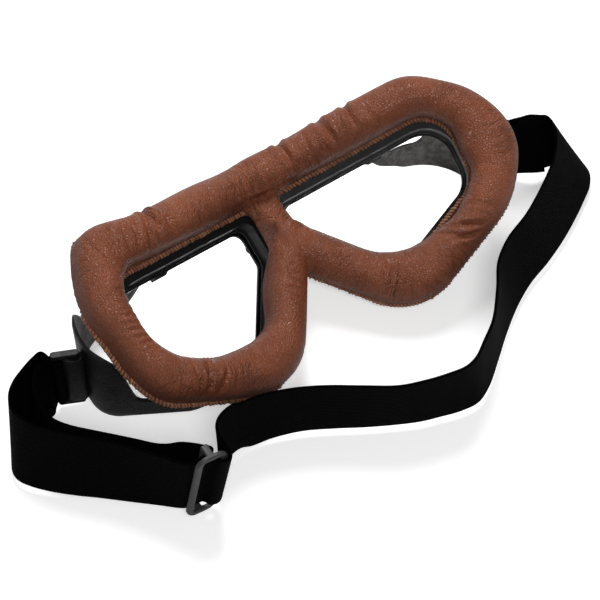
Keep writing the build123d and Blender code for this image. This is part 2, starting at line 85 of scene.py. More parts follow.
def length(name, description, millimetres):
    return FloatProperty(name=name, description=description, default=millimetres * MM,
                         unit="LENGTH", min=0.0)


def colour(name, description, default):
    return FloatVectorProperty(name=name, description=description, default=default,
                               subtype="COLOR", size=3)


class GogglesSizes(bpy.types.PropertyGroup):
    """Sizes that a user would change"""

    roll_radius: length("Roll radius", "Radius of the padding roll", 8.6)
    roll_seat: length("Roll seat", "Depth of the roll's seat below its middle", 6.0)
    stem_radius: length("Bridge radius", "Radius of the padded nose bridge", 6.8)
    voxel: length("Padding mesh", "Mesh size of the padding", 0.75)
    leather: length("Base leather", "Thickness of the base leather", 1.0)
    leather_margin: length("Seam margin", "Reach of the seam past the roll's middle", 9.2)
    stitch_pitch: length("Stitch pitch", "Distance between overlock stitches", 1.45)
    stitch_inset: length("Stitch inset", "Reach of a stitch from the edge", 1.15)
    thread: length("Thread", "Diameter of the seam thread", 0.95)
    wing_thickness: length("Wing leather", "Thickness of the temple wings", 1.6)
    strap_thickness: length("Strap thickness", "Thickness of the elastic", 1.2)
    wrinkle: FloatProperty(name="Wrinkle depth", description="Share of the full wrinkle depth",
                           default=1.0, subtype="FACTOR", min=0.0, max=1.0)
    seed: IntProperty(name="Seed", description="Seed of the small wrinkles", default=7)


class GogglesColours(bpy.types.PropertyGroup):
    """Colours of the goggles' finishes"""

    leather: colour("Leather", "Brown leather", (0.245, 0.066, 0.025))
    # Painted shade in the roll's creases and down its sides, and the real darker brown of the pores
    leather_dark: colour("Leather folds", "Darker brown in folds and pores", (0.07, 0.016, 0.006))
    thread: colour("Seam thread", "Thread of the overlocked seam", (0.38, 0.18, 0.105))
    black: colour("Black parts", "Black leather, rubber and paint", (0.007, 0.007, 0.0075))
    webbing: colour("Elastic", "Black elastic of the strap", (0.0008, 0.0007, 0.0011))
    slider: colour("Slider", "Dark grey plastic of the slider", (0.034, 0.034, 0.035))


def settings():
    return bpy.context.scene.goggles_sizes


def sized(name):
    """One of the settings' lengths, in mm."""
    return round(getattr(settings(), name) / MM, 4)


def coloured(name, share=1.0):
    """One of the goggles' colours, lighter or darker by a share."""
    return tuple(c * share for c in getattr(bpy.context.scene.goggles_colours, name))


# Places: a lobe's own plane, the goggles' frame and Blender's metres

def lobe_turns():
    """The tilt alone, and the tilt with the wrap, as matrices."""
    t, w = math.radians(TILT), math.radians(WRAP)
    tilt = np.array([[1, 0, 0], [0, math.cos(t), -math.sin(t)], [0, math.sin(t), math.cos(t)]])
    wrap = np.array([[math.cos(w), 0, -math.sin(w)], [0, 1, 0], [math.sin(w), 0, math.cos(w)]])
    return tilt, tilt @ wrap


TILTED, LOBE = lobe_turns()
LIFTED = np.array([0, 0, REST_HEIGHT])


def flip(side):
    return np.array([side, 1, 1])


def framed(points):
    """Points in the goggles' frame as points in the row frame, in metres."""
    return (np.asarray(points, float) + SHIFT) * MM


def placed(points, side):
    """Points in a lobe's plane as points in the row frame, in metres."""
    return framed((np.asarray(points, float) @ LOBE.T + LIFTED) * flip(side))


def in_lobe(co, side):
    """Points in the row frame, in metres, as points in a lobe's plane."""
    return ((co / MM - SHIFT) * flip(side) - LIFTED) @ LOBE


def unit(vectors):
    vectors = np.asarray(vectors, float)
    return vectors / np.maximum(np.linalg.norm(vectors, axis=-1, keepdims=True), 1e-12)


def smooth_step(values, low, high):
    share = np.clip((np.asarray(values, float) - low) / (high - low), 0, 1)
    return share * share * (3 - 2 * share)


# Outlines

def steps_along(path):
    """The length along a line at each of its points."""
    return np.r_[0, np.cumsum(np.linalg.norm(np.diff(path, axis=0), axis=1))]


def line_frames(path):
    """Lengths along a plane line, and its directions and outward sides."""
    along = unit(np.gradient(path, axis=0))
    return steps_along(path), along, np.stack([-along[:, 1], along[:, 0]], axis=1)


def moved_line(start, end, grow):
    """A point on the line through two points, moved outwards, and the line's direction."""
    start, end = np.array(start, float), np.array(end, float)
    along = unit(end - start)
    return start + grow * np.array([-along[1], along[0]]), along


def crossing(first, second):
    (a, u), (b, v) = first, second
    reach = ((b[0] - a[0]) * v[1] - (b[1] - a[1]) * v[0]) / (u[0] * v[1] - u[1] * v[0])
    return a + reach * u


def corner_arc(before, corner, after, radius, step):
    """The arc that rounds a corner between two neighbours."""
    before, after = unit(before - corner), unit(after - corner)
    half = math.acos(np.clip(before @ after, -1, 1)) / 2
    reach = radius / math.tan(half)
    centre = corner + unit(before + after) * radius / math.sin(half)
    a, b = corner + before * reach - centre, corner + after * reach - centre
    sweep = math.atan2(a[0] * b[1] - a[1] * b[0], a @ b)
    turns = np.linspace(0, sweep, max(3, int(abs(sweep) * radius / step)) + 1)
    return [centre + np.array([a[0] * math.cos(t) - a[1] * math.sin(t),
                               a[0] * math.sin(t) + a[1] * math.cos(t)]) for t in turns]


def rounded(points, radii, step, closed):
    """Straight runs and arcs through the points, as points about a step apart."""
    points = [np.array(p, float) for p in points]
    count = len(points)
    arcs = []
    for i, corner in enumerate(points):
        if not closed and i in (0, count - 1):
            arcs.append([corner])
        else:
            arcs.append(corner_arc(points[i - 1], corner, points[(i + 1) % count], radii[i], step))
    path = []
    for i in range(count if closed else count - 1):
        path += arcs[i]
        start, end = arcs[i][-1], arcs[(i + 1) % count][0]
        parts = max(1, int(np.linalg.norm(end - start) / step))
        path += [start + (end - start) * k / parts for k in range(1, parts)]
    if not closed:
        path += arcs[-1]
    return np.array(path)


def resampled(path, count, closed=False):
    """Evenly spaced points along a line."""
    path = np.asarray(path, float)
    if closed:
        path = np.vstack([path, path[:1]])
    lengths = steps_along(path)
    places = np.linspace(0, lengths[-1], count + closed)[:count]
    return np.stack([np.interp(places, lengths, column) for column in path.T], axis=1)


SPLINE_PARTS = 12
SPLINE_STEP = 1.0


def spline(points):
    """A centripetal curve through the points, as evenly spaced points about a step apart."""
    points = np.asarray(points, float)
    ends = np.vstack([2 * points[0] - points[1], points, 2 * points[-1] - points[-2]])
    knots = np.r_[0, np.cumsum(np.linalg.norm(np.diff(ends, axis=0), axis=1) ** 0.5)]
    curve = []
    for i in range(1, len(ends) - 2):
        knot, level = knots[i - 1:i + 3], list(ends[i - 1:i + 3])
        t = np.linspace(knot[1], knot[2], SPLINE_PARTS, endpoint=False)[:, None]
        for span in ((0, 1), (1, 2), (2, 3)), ((0, 2), (1, 3)), ((1, 2),):
            level = [(knot[b] - t) / (knot[b] - knot[a]) * level[k]
                     + (t - knot[a]) / (knot[b] - knot[a]) * level[k + 1]
                     for k, (a, b) in enumerate(span)]
        curve.append(level[0])
    curve = np.vstack(curve + [points[-1:]])
    return resampled(curve, max(2, int(steps_along(curve)[-1] / SPLINE_STEP) + 1))


# Meshes

def linked(name, mesh):
    piece = bpy.data.objects.new(name, mesh)
    bpy.context.scene.collection.objects.link(piece)
    return piece


def read(items, key, width=1, kind=float):
    """One value, or one row of values, for each item of a mesh."""
    values = np.zeros(len(items) * width, kind)
    items.foreach_get(key, values)
    return values if width == 1 else values.reshape(-1, width)


def mapped(mesh, uvs):
    """Gives the mesh a UV map from one pair for each face corner."""
    mesh.uv_layers.new(name="surface").data.foreach_set("uv", uvs.ravel())


def mesh_object(name, points, faces, uvs=None, smooth=True):
    """A piece from points in metres. uvs holds one pair for each point."""
    mesh = bpy.data.meshes.new(name)
    mesh.from_pydata([tuple(p) for p in points], [], [tuple(f) for f in faces])
    if uvs is not None:
        mapped(mesh, np.asarray(uvs, float)[read(mesh.loops, "vertex_index", kind=int)])
    mesh.validate()
    mesh.polygons.foreach_set("use_smooth", [smooth] * len(mesh.polygons))
    mesh.update()
    return linked(name, mesh)


def joined(name, parts):
    """Several meshes, each of points and faces, as one piece."""
    points, faces = [], []
    for part_points, part_faces in parts:
        faces += [tuple(i + len(points) for i in f) for f in part_faces]
        points += list(part_points)
    return mesh_object(name, points, faces)


def tube_faces(rings, around, closed=False, caps=True):
    """Quads between rings of points, with end caps."""
    faces = []
    for i in range(rings if closed else rings - 1):
        a, b = i * around, (i + 1) % rings * around
        for k in range(around):
            m = (k + 1) % around
            faces.append((a + k, a + m, b + m, b + k))
    if caps and not closed:
        faces.append(tuple(range(around))[::-1])
        faces.append(tuple((rings - 1) * around + k for k in range(around)))
    return faces


def outward(piece):
    """Turns the faces of a closed mesh outwards."""
    work = bmesh.new()
    work.from_mesh(piece.data)
    bmesh.ops.recalc_face_normals(work, faces=work.faces)
    work.to_mesh(piece.data)
    work.free()
    return piece


def applied(piece):
    """The piece with its modifiers turned into plain mesh."""
    bpy.context.view_layer.update()
    graph = bpy.context.evaluated_depsgraph_get()
    mesh = bpy.data.meshes.new_from_object(piece.evaluated_get(graph))
    piece.modifiers.clear()
    old, piece.data = piece.data, mesh
    mesh.name = piece.name
    bpy.data.meshes.remove(old)
    return piece


def remeshed(piece, voxel, factor, iterations):
    """Merges the parts of a piece into one skin and eases it."""
    skin = piece.modifiers.new("skin", "REMESH")
    skin.mode = "VOXEL"
    skin.voxel_size = voxel * MM
    skin.use_smooth_shade = True
    ease = piece.modifiers.new("ease", "SMOOTH")
    ease.factor = factor
    ease.iterations = iterations
    return applied(piece)


# Nodes and materials

class Nodes:
    """Adds nodes to a tree, with their settings given and their inputs linked or set."""

    def __init__(self, tree):
        self.tree = tree

    def add(self, kind, inputs=(), **choices):
        made = self.tree.nodes.new(kind)
        for key, value in choices.items():
            setattr(made, key, value)
        for key, value in dict(inputs).items():
            self.feed(made.inputs[key], value)
        return made

    def feed(self, socket, value):
        if isinstance(value, bpy.types.Node):
            value = value.outputs[0]
        if isinstance(value, bpy.types.NodeSocket):
            self.tree.links.new(value, socket)
        elif socket.type == "RGBA":
            socket.default_value = (*value, 1)
        else:
            socket.default_value = value


class Finish(Nodes):
    """The nodes of one material round its shader. Texture scales are per metre or per mm of map."""

    def __init__(self, name):
        self.material = bpy.data.materials.new(name)
        self.material.use_nodes = True
        super().__init__(self.material.node_tree)
        self.shader = self.tree.nodes["Principled BSDF"]

    def where(self, kind="Object", scale=(1, 1, 1)):
        source = self.add("ShaderNodeTexCoord").outputs[kind]
        return self.add("ShaderNodeMapping", {"Vector": source, "Scale": scale})

    def noise(self, place, scale, detail=3.0, roughness=0.5):
        return self.add("ShaderNodeTexNoise", {"Vector": place, "Scale": scale, "Detail": detail,
                                               "Roughness": roughness}).outputs["Fac"]

    def cells(self, place, scale):
        return self.add("ShaderNodeTexVoronoi", {"Vector": place, "Scale": scale},
                        feature="DISTANCE_TO_EDGE").outputs["Distance"]

    def wave(self, place, scale, direction, distortion=0.0):
        return self.add("ShaderNodeTexWave", {"Vector": place, "Scale": scale,
                                              "Distortion": distortion},
                        bands_direction=direction).outputs["Fac"]

    def ramp(self, value, stops):
        made = self.add("ShaderNodeValToRGB", {"Fac": value})
        ramp = made.color_ramp
        while len(ramp.elements) < len(stops):
            ramp.elements.new(0.5)
        for element, (position, tone) in zip(ramp.elements, stops):
            element.position = position
            element.color = (*tone, 1)
        return made

    def spread(self, value, low, high, from_low=0.0, from_high=1.0):
        return self.add("ShaderNodeMapRange", {"Value": value, "From Min": from_low,
                                               "From Max": from_high, "To Min": low,
                                               "To Max": high})

    def mixed(self, share, first, second):
        return self.add("ShaderNodeMix", {0: share, 6: first, 7: second},
                        data_type="RGBA").outputs[2]

    def maths(self, operation, first, second=0.0):
        return self.add("ShaderNodeMath", {0: first, 1: second}, operation=operation)

    def folded(self, waves, width, where):
        """Lines where a noise crosses its middle, kept to some places."""
        off = self.maths("ABSOLUTE", self.maths("SUBTRACT", waves, 0.5))
        return self.maths("MULTIPLY", self.spread(off, 1.0, 0.0, 0.0, width), where)

    def finish(self, bumps, **values):
        """Sets the shader. bumps holds (value, depth in metres) pairs, the coarsest first."""
        normal = None
        for height, depth in bumps:
            bump = self.add("ShaderNodeBump", {"Strength": 1.0, "Distance": depth,
                                               "Height": height})
            if normal:
                self.feed(bump.inputs["Normal"], normal)
            normal = bump
        if normal:
            values["Normal"] = normal
        for key, value in values.items():
            self.feed(self.shader.inputs[key.replace("_", " ")], value)
        return self.material


def brown_leather():
    """Pebble grain, creases across the roll on its own map with painted shade in them, painted
    shade down the roll's sides, and worn patches.
    """
    f = Finish("roll_leather")
    place = f.where()
    pores = f.cells(place, 980.0)
    fine = f.noise(place, 2300.0, 2.0)
    broad = f.noise(place, 42.0, 4.0, 0.6)
    patch = f.noise(place, 230.0, 3.0, 0.6)
    where = f.spread(f.noise(place, 34.0, 2.0), 0.0, 1.0, 0.46, 0.62)
    fold = f.folded(f.noise(f.where("UV", (1.0, 0.3, 1.0)), 0.3, 1.5, 0.5), 0.09, where)
    crinkle = f.folded(f.noise(f.where("UV", (1.0, 0.5, 1.0)), 0.85, 2.0, 0.5), 0.12, where)
    light, dark = coloured("leather"), coloured("leather_dark")
    warm = tuple(c * s for c, s in zip(light, (1.3, 1.35, 1.4)))
    base = f.ramp(broad, [(0.3, coloured("leather", 0.8)), (0.52, light), (0.72, warm)])
    worn = f.mixed(f.spread(patch, 0.0, 0.4, 0.45, 0.75), base, warm)
    # Painted shade: the creases are darkened in colour as well as bumped in the relief
    folded = f.mixed(f.spread(fold, 0.0, 0.4), worn, dark)
    # Painted shade: the colour darkens down both sides of the roll towards the base leather, more
    # on its inner side by the lens, and the surface is rougher there
    round_it = f.add("ShaderNodeSeparateXYZ", {"Vector": f.where("UV")}).outputs["Y"]
    shaded = f.maths("MAXIMUM", f.spread(round_it, 0.72, 0.0, -13.0, -6.0),
                     f.spread(round_it, 0.0, 0.5, 8.5, 13.5))
    side_shaded = f.mixed(shaded, folded, dark)
    pored = f.mixed(f.spread(pores, 0.5, 0.0, 0.0, 0.13), side_shaded, dark)
    rough = f.maths("MAXIMUM", f.spread(patch, 0.34, 0.5, 0.3, 0.7),
                    f.maths("MULTIPLY", shaded, 1.15))
    relief = [(f.maths("SUBTRACT", 1.0, fold), 0.0004), (patch, 0.0005),
              (f.maths("SUBTRACT", 1.0, crinkle), 0.00018),
              (f.spread(pores, 0.0, 1.0, 0.0, 0.24), 0.00018), (fine, 0.00002)]
    return f.finish(relief, Base_Color=pored, Roughness=rough, Specular_IOR_Level=0.42)


def black_leather():
    f = Finish("black_leather")
    place = f.where()
    pores = f.cells(place, 900.0)
    patch = f.noise(place, 160.0, 3.0, 0.6)
    base = f.mixed(f.spread(patch, 0.0, 0.9, 0.35, 0.7), coloured("black", 0.5),
                   coloured("black", 1.8))
    return f.finish([(patch, 0.0004), (f.spread(pores, 0.0, 1.0, 0.0, 0.16), 0.0001)],
                    Base_Color=base, Roughness=f.spread(patch, 0.36, 0.5, 0.3, 0.7),
                    Specular_IOR_Level=0.22)


def wing_lining():
    """The wings' black leather on its inner faces, painted light grey as sheen, with a brushed nap.
    """
    f = Finish("wing_lining")
    place = f.where()
    nap = f.noise(place, 420.0, 4.0, 0.65)
    patch = f.noise(place, 90.0, 3.0, 0.6)
    base = f.mixed(f.spread(nap, 0.0, 1.0, 0.35, 0.65), (0.085, 0.08, 0.077),
                   (0.27, 0.255, 0.245))
    worn = f.mixed(f.spread(patch, 0.0, 0.6, 0.4, 0.7), base, (0.09, 0.085, 0.082))
    return f.finish([(patch, 0.0004), (nap, 0.00015)], Base_Color=worn, Roughness=0.6,
                    Specular_IOR_Level=0.4)


def seam_thread():
    f = Finish("seam_thread")
    place = f.where()
    base = f.ramp(f.noise(place, 320.0, 2.0), [(0.32, coloured("thread", 0.62)),
                                               (0.55, coloured("thread")),
                                               (0.75, coloured("thread", 1.35))])
    return f.finish([(f.wave(place, 2600.0, "DIAGONAL"), 0.00003)], Base_Color=base,
                    Roughness=0.8, Specular_IOR_Level=0.25)


def worn_coat(name, tones, wear, share, rough, grains, **values):
    """A coat with lighter worn patches: its noise, two spreads of it, and finer grains."""
    f = Finish(name)
    place = f.where()
    worn = f.noise(place, *wear)
    relief = [(f.noise(place, scale, 2.0) if scale else worn, depth) for scale, depth in grains]
    return f.finish(relief, Base_Color=f.mixed(f.spread(worn, *share), *tones),
                    Roughness=f.spread(worn, *rough), **values)


def black_rubber():
    return worn_coat("black_rubber", (coloured("black"), coloured("black", 2.2)),
                     (240.0, 4.0, 0.6), (0.0, 0.6, 0.5, 0.8), (0.42, 0.6, 0.3, 0.7),
                     ((None, 0.0002), (1600.0, 0.00003)), Specular_IOR_Level=0.22)


def black_paint(name, rough, shine):
    return worn_coat(name, (coloured("black"), coloured("black", 2.0)),
                     (300.0, 4.0, 0.6), (0.0, 0.5, 0.55, 0.8), (rough, rough + 0.14, 0.35, 0.7),
                     ((420.0, 0.00004),), Specular_IOR_Level=shine)


def slider_plastic():
    return worn_coat("slider_plastic", (coloured("slider"), coloured("slider", 1.5)),
                     (260.0, 4.0, 0.65), (0.0, 0.6, 0.5, 0.8), (0.42, 0.6, 0.3, 0.7),
                     ((900.0, 0.00005),))


def clear_lens():
    f = Finish("clear_lens")
    smear = f.noise(f.where(), 70.0, 3.0)
    return f.finish([], Base_Color=(0.985, 0.99, 0.99), IOR=1.2, Transmission_Weight=1.0,
                    Roughness=f.spread(smear, 0.0, 0.03, 0.3, 0.7))


def elastic_webbing():
    """Ribs along the strap and fine picks across it, on the strap's own map in mm."""
    f = Finish("elastic_webbing")
    flat = f.where("UV")
    ribs = f.wave(flat, 0.33, "Y", 0.25)
    knit = f.maths("MULTIPLY", ribs, f.wave(flat, 0.62, "X", 0.5))
    fuzz = f.noise(f.where(), 900.0, 3.0)
    base = f.mixed(f.spread(knit, 0.0, 0.7, 0.3, 1.0), coloured("webbing"),
                   coloured("webbing", 2.2))
    return f.finish([(ribs, 0.0002), (knit, 0.00012), (fuzz, 0.00005)], Base_Color=base,
                    Roughness=0.75, Specular_IOR_Level=0.035)


def brushed_plate():
    f = Finish("steel_plate")
    grain = f.noise(f.where(scale=(40, 900, 900)), 2.0, 3.0)
    return f.finish([(grain, 0.00002)], Base_Color=(0.35, 0.35, 0.36), Metallic=1.0,
                    Roughness=f.spread(grain, 0.3, 0.45))


MAKERS = {
    "brown_leather": brown_leather,
    "black_leather": black_leather,
    "wing_lining": wing_lining,
    "seam_thread": seam_thread,
    "black_rubber": black_rubber,
    "black_frame": lambda: black_paint("black_frame", 0.26, 0.38),
    "black_wire": lambda: black_paint("black_wire", 0.3, 0.12),
    "clear_lens": clear_lens,
    "elastic_webbing": elastic_webbing,
    "slider_plastic": slider_plastic,
    "steel_plate": brushed_plate,
}
FINISHES = {}


def material(name):
    """The finish with this name, made once."""
    if name not in FINISHES:
        FINISHES[name] = MAKERS[name]()
    return FINISHES[name]


def coated(piece, finish):
    piece.data.materials.clear()
    piece.data.materials.append(material(finish))


def finished(piece, slot, *replaced, body="goggles"):
    """Gives a piece its finish, its material slot and its body, and hides the CAD nodes it stands
    for.
    """
    coated(piece, slot)
    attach(piece, body)
    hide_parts(*replaced)
    return piece


# The padding

ROLL_SIDES = 40
# How far the section draws in below its middle: on its hanging outer side and on the others
HANGING_TUCK, LOW_TUCK = 0.015, 0.03
BROW_RUN, NOSE_RUN = 4.0, 6.0
STEM_TOP, STEM_FOOT, STEM_STATIONS = 1.0, -31.0, 33
STEM_DROP, STEM_FLATTER = 1.0, 0.9
STEM_ROOT, STEM_SPREAD, STEM_RISE = 3.2, 1.5, 0.8

# Creases of each lobe: place along the roll, place round it, reach, width, depth, slant in degrees
ROLL_CREASES = {
    1: (
        (4, -9.5, 12, 1.2, 1.5, 90), (17, 6, 9, 1.3, 1.7, 4), (26, 1, 6, 1.0, 0.7, -12),
        (35.5, 5, 9, 1.4, 1.6, 6), (41, 0, 6, 1.0, 0.7, -14), (46.5, 6, 8, 1.2, 1.5, -4),
        (54, -2, 6, 1.1, 0.4, 12), (138, -2, 6, 1.0, 0.5, 25), (147, -1, 8, 1.1, 1.3, 35),
        (150.5, 3, 7, 1.0, 1.2, 50), (154, -3, 6, 1.0, 0.8, 30),
    ),
    -1: (
        (4, -9.5, 13, 1.2, 1.5, 90), (6, 3, 8, 1.2, 0.5, -5), (54, 6, 9, 1.2, 2.4, 8),
        (50, 0, 6, 0.9, 0.9, -14), (58.5, 0, 8, 1.0, 1.4, 14), (63, 2, 8, 0.9, 1.2, 16),
        (67.5, 0, 7, 0.9, 1.0, 20), (72, 2, 8, 0.9, 1.0, 24), (76, 0, 7, 0.8, 0.9, 28),
        (80, 3, 7, 0.8, 0.8, 30), (103, 0, 4, 0.75, 0.6, 20), (106, 1, 4, 0.75, 0.6, 18),
        (109, 0, 4, 0.75, 0.6, 16), (112, 1, 4, 0.75, 0.6, 14), (115, 0, 4, 0.75, 0.5, 12),
        (138, 1, 6, 1.0, 0.8, -12), (143, 3, 7, 1.0, 1.0, 4), (148.5, 5, 6, 1.0, 0.9, 16),
    ),
}

# Small seeded creases: from and to along the roll, count, from and to round it, depth
SMALL_CREASES = (
    (84, 118, 12, -12, 4, 0.28), (118, 175, 12, -12, -2, 0.25), (175, 232, 10, -14, -4, 0.25),
    (0, 84, 14, -12, 10, 0.25), (100, 290, 16, 6, 14, 0.25),
)
# Their reach and width, and the spread of their slant in radians
SMALL_REACH, SMALL_WIDTH, SMALL_SLANT = (2.5, 6.0), (0.5, 0.9), 0.45

# Where the soft roll lies off its pattern: place in the lobe's plane, reach, and how far it moves
PUSHES = {
    1: (
        (36, -58, 9, 0.3, 4.6), (62, -50, 8, 0.3, -1.8), (95, -34, 15, 5.2, -1.4),
        (76, -31, 9, -2.2, 0), (88, 0, 12, -1.2, -1.6),
    ),
    -1: (
        (77, -35, 9, 2.4, 0), (59, -52, 10, 1.4, -2.2), (37, -59, 9, -0.6, 3.6),
        (30, -51, 8, -1.8, -0.8), (11, -24, 10, -3.4, -0.6), (77, 5, 14, 3.8, 3.8),
        (99, -33, 15, -3.4, 0.2), (95, -51, 12, -1.8, 1.4),
    ),
}

# More of the same for the base leather's edge
LEATHER_TUCKS = {1: (), -1: ((94, -4, 15, -3.4, -1.4),)}

# The raised lips beside a crease: their share of its depth, and their place in widths of it
LIP_SHARE, LIP_PLACE = 0.3, 2.0

# A slow swell along the roll, and the reach over which the folds fade at the nose and the seat
SWELL, SWELL_WAVE, SWELL_DRIFT = 0.45, 9.0, 23.0
NOSE_FADE, SEAT_FADE = 14.0, 2.5

# The largest step of the map inside one face, and where the left lobe's map starts
UV_JUMP = 6.0
LEFT_MAP_START = 400


def roll_line(step):
    return rounded(ROLL_CORNERS, (0, *CORNER_RADII, 0), step, False)


def seated_ring(radius, seat):
    """A round section, flat underneath; its outer side hangs straight down to the seam."""
    turns = np.linspace(0, 2 * math.pi, ROLL_SIDES, endpoint=False)
    out, up = radius * np.cos(turns), radius * np.sin(turns)
    low = np.clip(-up / seat, 0, 1)
    hanging = radius * (1 - HANGING_TUCK * low ** 2) * (up > -seat * 1.15)
    drawn_in = out * (1 - LOW_TUCK * low ** 2)
    out = np.where((out > 0) & (up < 0), np.maximum(out, hanging), drawn_in)
    return out, np.maximum(up, -seat)


def tube_in_lobe(path, radius, seat):
    """A seated roll along a plane line, as points in the line's plane and faces."""
    side_out = line_frames(path)[2]
    out, up = seated_ring(radius, seat)
    rings = np.zeros((len(path), ROLL_SIDES, 3))
    rings[:, :, :2] = path[:, None] + out[None, :, None] * side_out[:, None]
    rings[:, :, 2] = up
    return rings.reshape(-1, 3), tube_faces(len(path), ROLL_SIDES)


def bridge_stem(seat):
    """The padded stem between the lobes, wider where it leaves the brow roll."""
    line = np.array([(0.0, y) for y in np.linspace(STEM_TOP, STEM_FOOT, STEM_STATIONS)])
    points, faces = tube_in_lobe(line, 1.0, 10.0)
    down, radius = -points[:, 1], sized("stem_radius")
    wide = (radius + STEM_ROOT * (1 - smooth_step(down, 3.0, 14.0))
            + STEM_SPREAD * smooth_step(down, 14.0, 27.0))
    tall = radius - STEM_FLATTER + STEM_RISE * smooth_step(down, 12.0, 28.0)
    points[:, 0] *= wide
    points[:, 2] = np.maximum(points[:, 2] * tall - STEM_DROP, -seat)
    return framed(points @ TILTED.T + LIFTED), faces


def padding_parts():
    """Closed tubes that overlap at the bridge."""
    radius, seat = sized("roll_radius"), sized("roll_seat")
    line = roll_line(1.0)
    line = np.vstack([line[0] - unit(line[1] - line[0]) * BROW_RUN, line,
                      line[-1] + unit(line[-1] - line[-2]) * NOSE_RUN])
    points, faces = tube_in_lobe(line, radius, seat)
    return [(placed(points, side), faces) for _, side in SIDES] + [bridge_stem(seat)]


def crease(along_roll, round_roll, s0, t0, reach, width, depth, slant):
    """The depth of a soft groove with raised lips at places along and round the roll."""
    ds, dt = along_roll - s0, round_roll - t0
    across = ds * math.cos(slant) + dt * math.sin(slant)
    along = -ds * math.sin(slant) + dt * math.cos(slant)
    fade = np.exp(-(along / reach) ** 4)
    lip = np.exp(-((np.abs(across) - LIP_PLACE * width) / width) ** 2)
    return (-depth * np.exp(-(across / width) ** 2) + LIP_SHARE * depth * lip) * fade


def pushed(points, side, more=()):
    """Points in a lobe's plane, moved as the soft roll there is."""
    points = np.array(points, float)
    move = np.zeros((len(points), 2))
    for x, y, reach, dx, dy in (*PUSHES[side], *more):
        far = (points[:, 0] - x) ** 2 + (points[:, 1] - y) ** 2
        move += np.exp(-far / reach ** 2)[:, None] * np.array([dx, dy])
    points[:, :2] += move * smooth_step(points[:, 0], 1.0, 9.0)[:, None]
    return points


def creases_at(s, t, side, rng):
    """The sum of the listed and the small seeded creases."""
    value = np.zeros(len(s))
    for s0, t0, reach, width, depth, slant in ROLL_CREASES[side]:
        value += crease(s, t, s0, t0, reach, width, depth, math.radians(slant))
    for start, end, count, low, high, deep in SMALL_CREASES:
        for _ in range(count):
            s0, t0 = rng.uniform(start, end), rng.uniform(low, high)
            reach, width = rng.uniform(*SMALL_REACH), rng.uniform(*SMALL_WIDTH)
            depth, slant = deep * rng.uniform(0.3, 1), rng.normal(0, SMALL_SLANT)
            value += crease(s, t, s0, t0, reach, width, depth, slant)
    return value


def wrinkled(piece):
    """Moves the roll's skin in and out, and maps it in mm along and round the roll."""
    rng = np.random.default_rng(settings().seed)
    verts = piece.data.vertices
    co, no = read(verts, "co", 3), read(piece.data.vertex_normals, "vector", 3)
    line = roll_line(0.5)
    lengths, along, side_out = line_frames(line)
    tree = KDTree(len(line))
    for i, p in enumerate(line):
        tree.insert((p[0], p[1], 0), i)
    tree.balance()
    move, flat, drift = np.zeros(len(co)), np.zeros((len(co), 2)), np.zeros((len(co), 3))
    for _, side in SIDES:
        mine = (co[:, 0] / MM - SHIFT[0]) * side >= 0
        local = in_lobe(co[mine], side)
        nearest = np.array([tree.find((x, y, 0))[1] for x, y, z in local])
        offset = local[:, :2] - line[nearest]
        s = lengths[nearest] + (offset * along[nearest]).sum(1)
        turn = np.arctan2((offset * side_out[nearest]).sum(1), local[:, 2])
        t = turn * sized("roll_radius")
        phase = 1 if side > 0 else 2.4
        wave = np.sin(s / SWELL_WAVE + 2.0 * np.sin(s / SWELL_DRIFT) + phase)
        swell = SWELL * wave * np.cos(turn * 0.5)
        ends = np.clip((lengths[-1] - s) / NOSE_FADE, 0, 1)
        free = np.clip((local[:, 2] + sized("roll_seat")) / SEAT_FADE, 0, 1)
        move[mine] = (creases_at(s, t, side, rng) * ends + swell) * free * settings().wrinkle
        start = 0 if side > 0 else LEFT_MAP_START
        # The round place fades to 0 near the bridge, so the painted shade of the roll's sides fades
        # out there
        flat[mine] = np.column_stack([s + start, t * smooth_step(local[:, 0], 5.0, 14.0)])
        drift[mine] = (pushed(local, side) - local) @ LOBE.T * flip(side) * MM
    verts.foreach_set("co", (co + no * (move * MM)[:, None] + drift).ravel())
    piece.data.update()
    corners = read(piece.data.loops, "vertex_index", kind=int)
    starts = read(piece.data.polygons, "loop_start", kind=int)
    totals = read(piece.data.polygons, "loop_total", kind=int)
    first = np.repeat(flat[corners[starts]], totals, axis=0)
    uv = flat[corners]
    mapped(piece.data, np.where(np.abs(uv - first) > UV_JUMP, first, uv))


def make_padding():
    piece = remeshed(outward(joined("padding", padding_parts())), sized("voxel"), 0.5, 12)
    wrinkled(piece)
    piece.data.polygons.foreach_set("use_smooth", [True] * len(piece.data.polygons))
    finished(piece, "brown_leather", "right_padding_cover", "left_padding_cover",
             "right_foam_core", "left_foam_core")


# The base leather and its overlocked edge

LEATHER_STEP = 0.8
LEATHER_INSET, LEATHER_SHELF, LEATHER_NOSE_EDGE, NOSE_EASE = -8.5, 1.0, 2.6, 6.5
INNER_CORNER, OUTER_CORNER = 4.0, 0.5
LEATHER_POINTS = 420
LEATHER_SHARES = (0.0, 0.03, 0.2, 0.5, 0.8, 0.97, 1.0)
LEATHER_PUFF = 0.15
BROW_TUCK, BROW_TUCK_ENDS = 2.2, (66.0, 82.0)
EDGE_WAVES = ((19, 0.22), (37, 0.16))
STITCH_DEPTH, STITCH_OVERREACH = 0.85, 0.15
STITCH_SLANT, STITCH_LOOSENESS = 0.55, 0.4


def lobe_outline(grow, nose_edge, nose_corner, shelf=0.0, ease=0.0):
    """The lobe's outline grown outwards, as in the model."""
    corners = [(0, -shelf), (ROLL_CORNERS[1][0], ROLL_CORNERS[1][1] - shelf), *ROLL_CORNERS[2:]]
    lines = [moved_line(a, b, grow) for a, b in zip(corners, corners[1:])]
    lines[-1] = moved_line(corners[-2], corners[-1], grow + ease)
    nose = (np.array([nose_edge, 0.0]), np.array([0.0, 1.0]))
    points = [crossing(a, b) for a, b in zip([nose, *lines], [*lines, nose])]
    radii = [nose_corner] + [r + grow for r in CORNER_RADII] + [nose_corner]
    return rounded(points, radii, LEATHER_STEP, True)


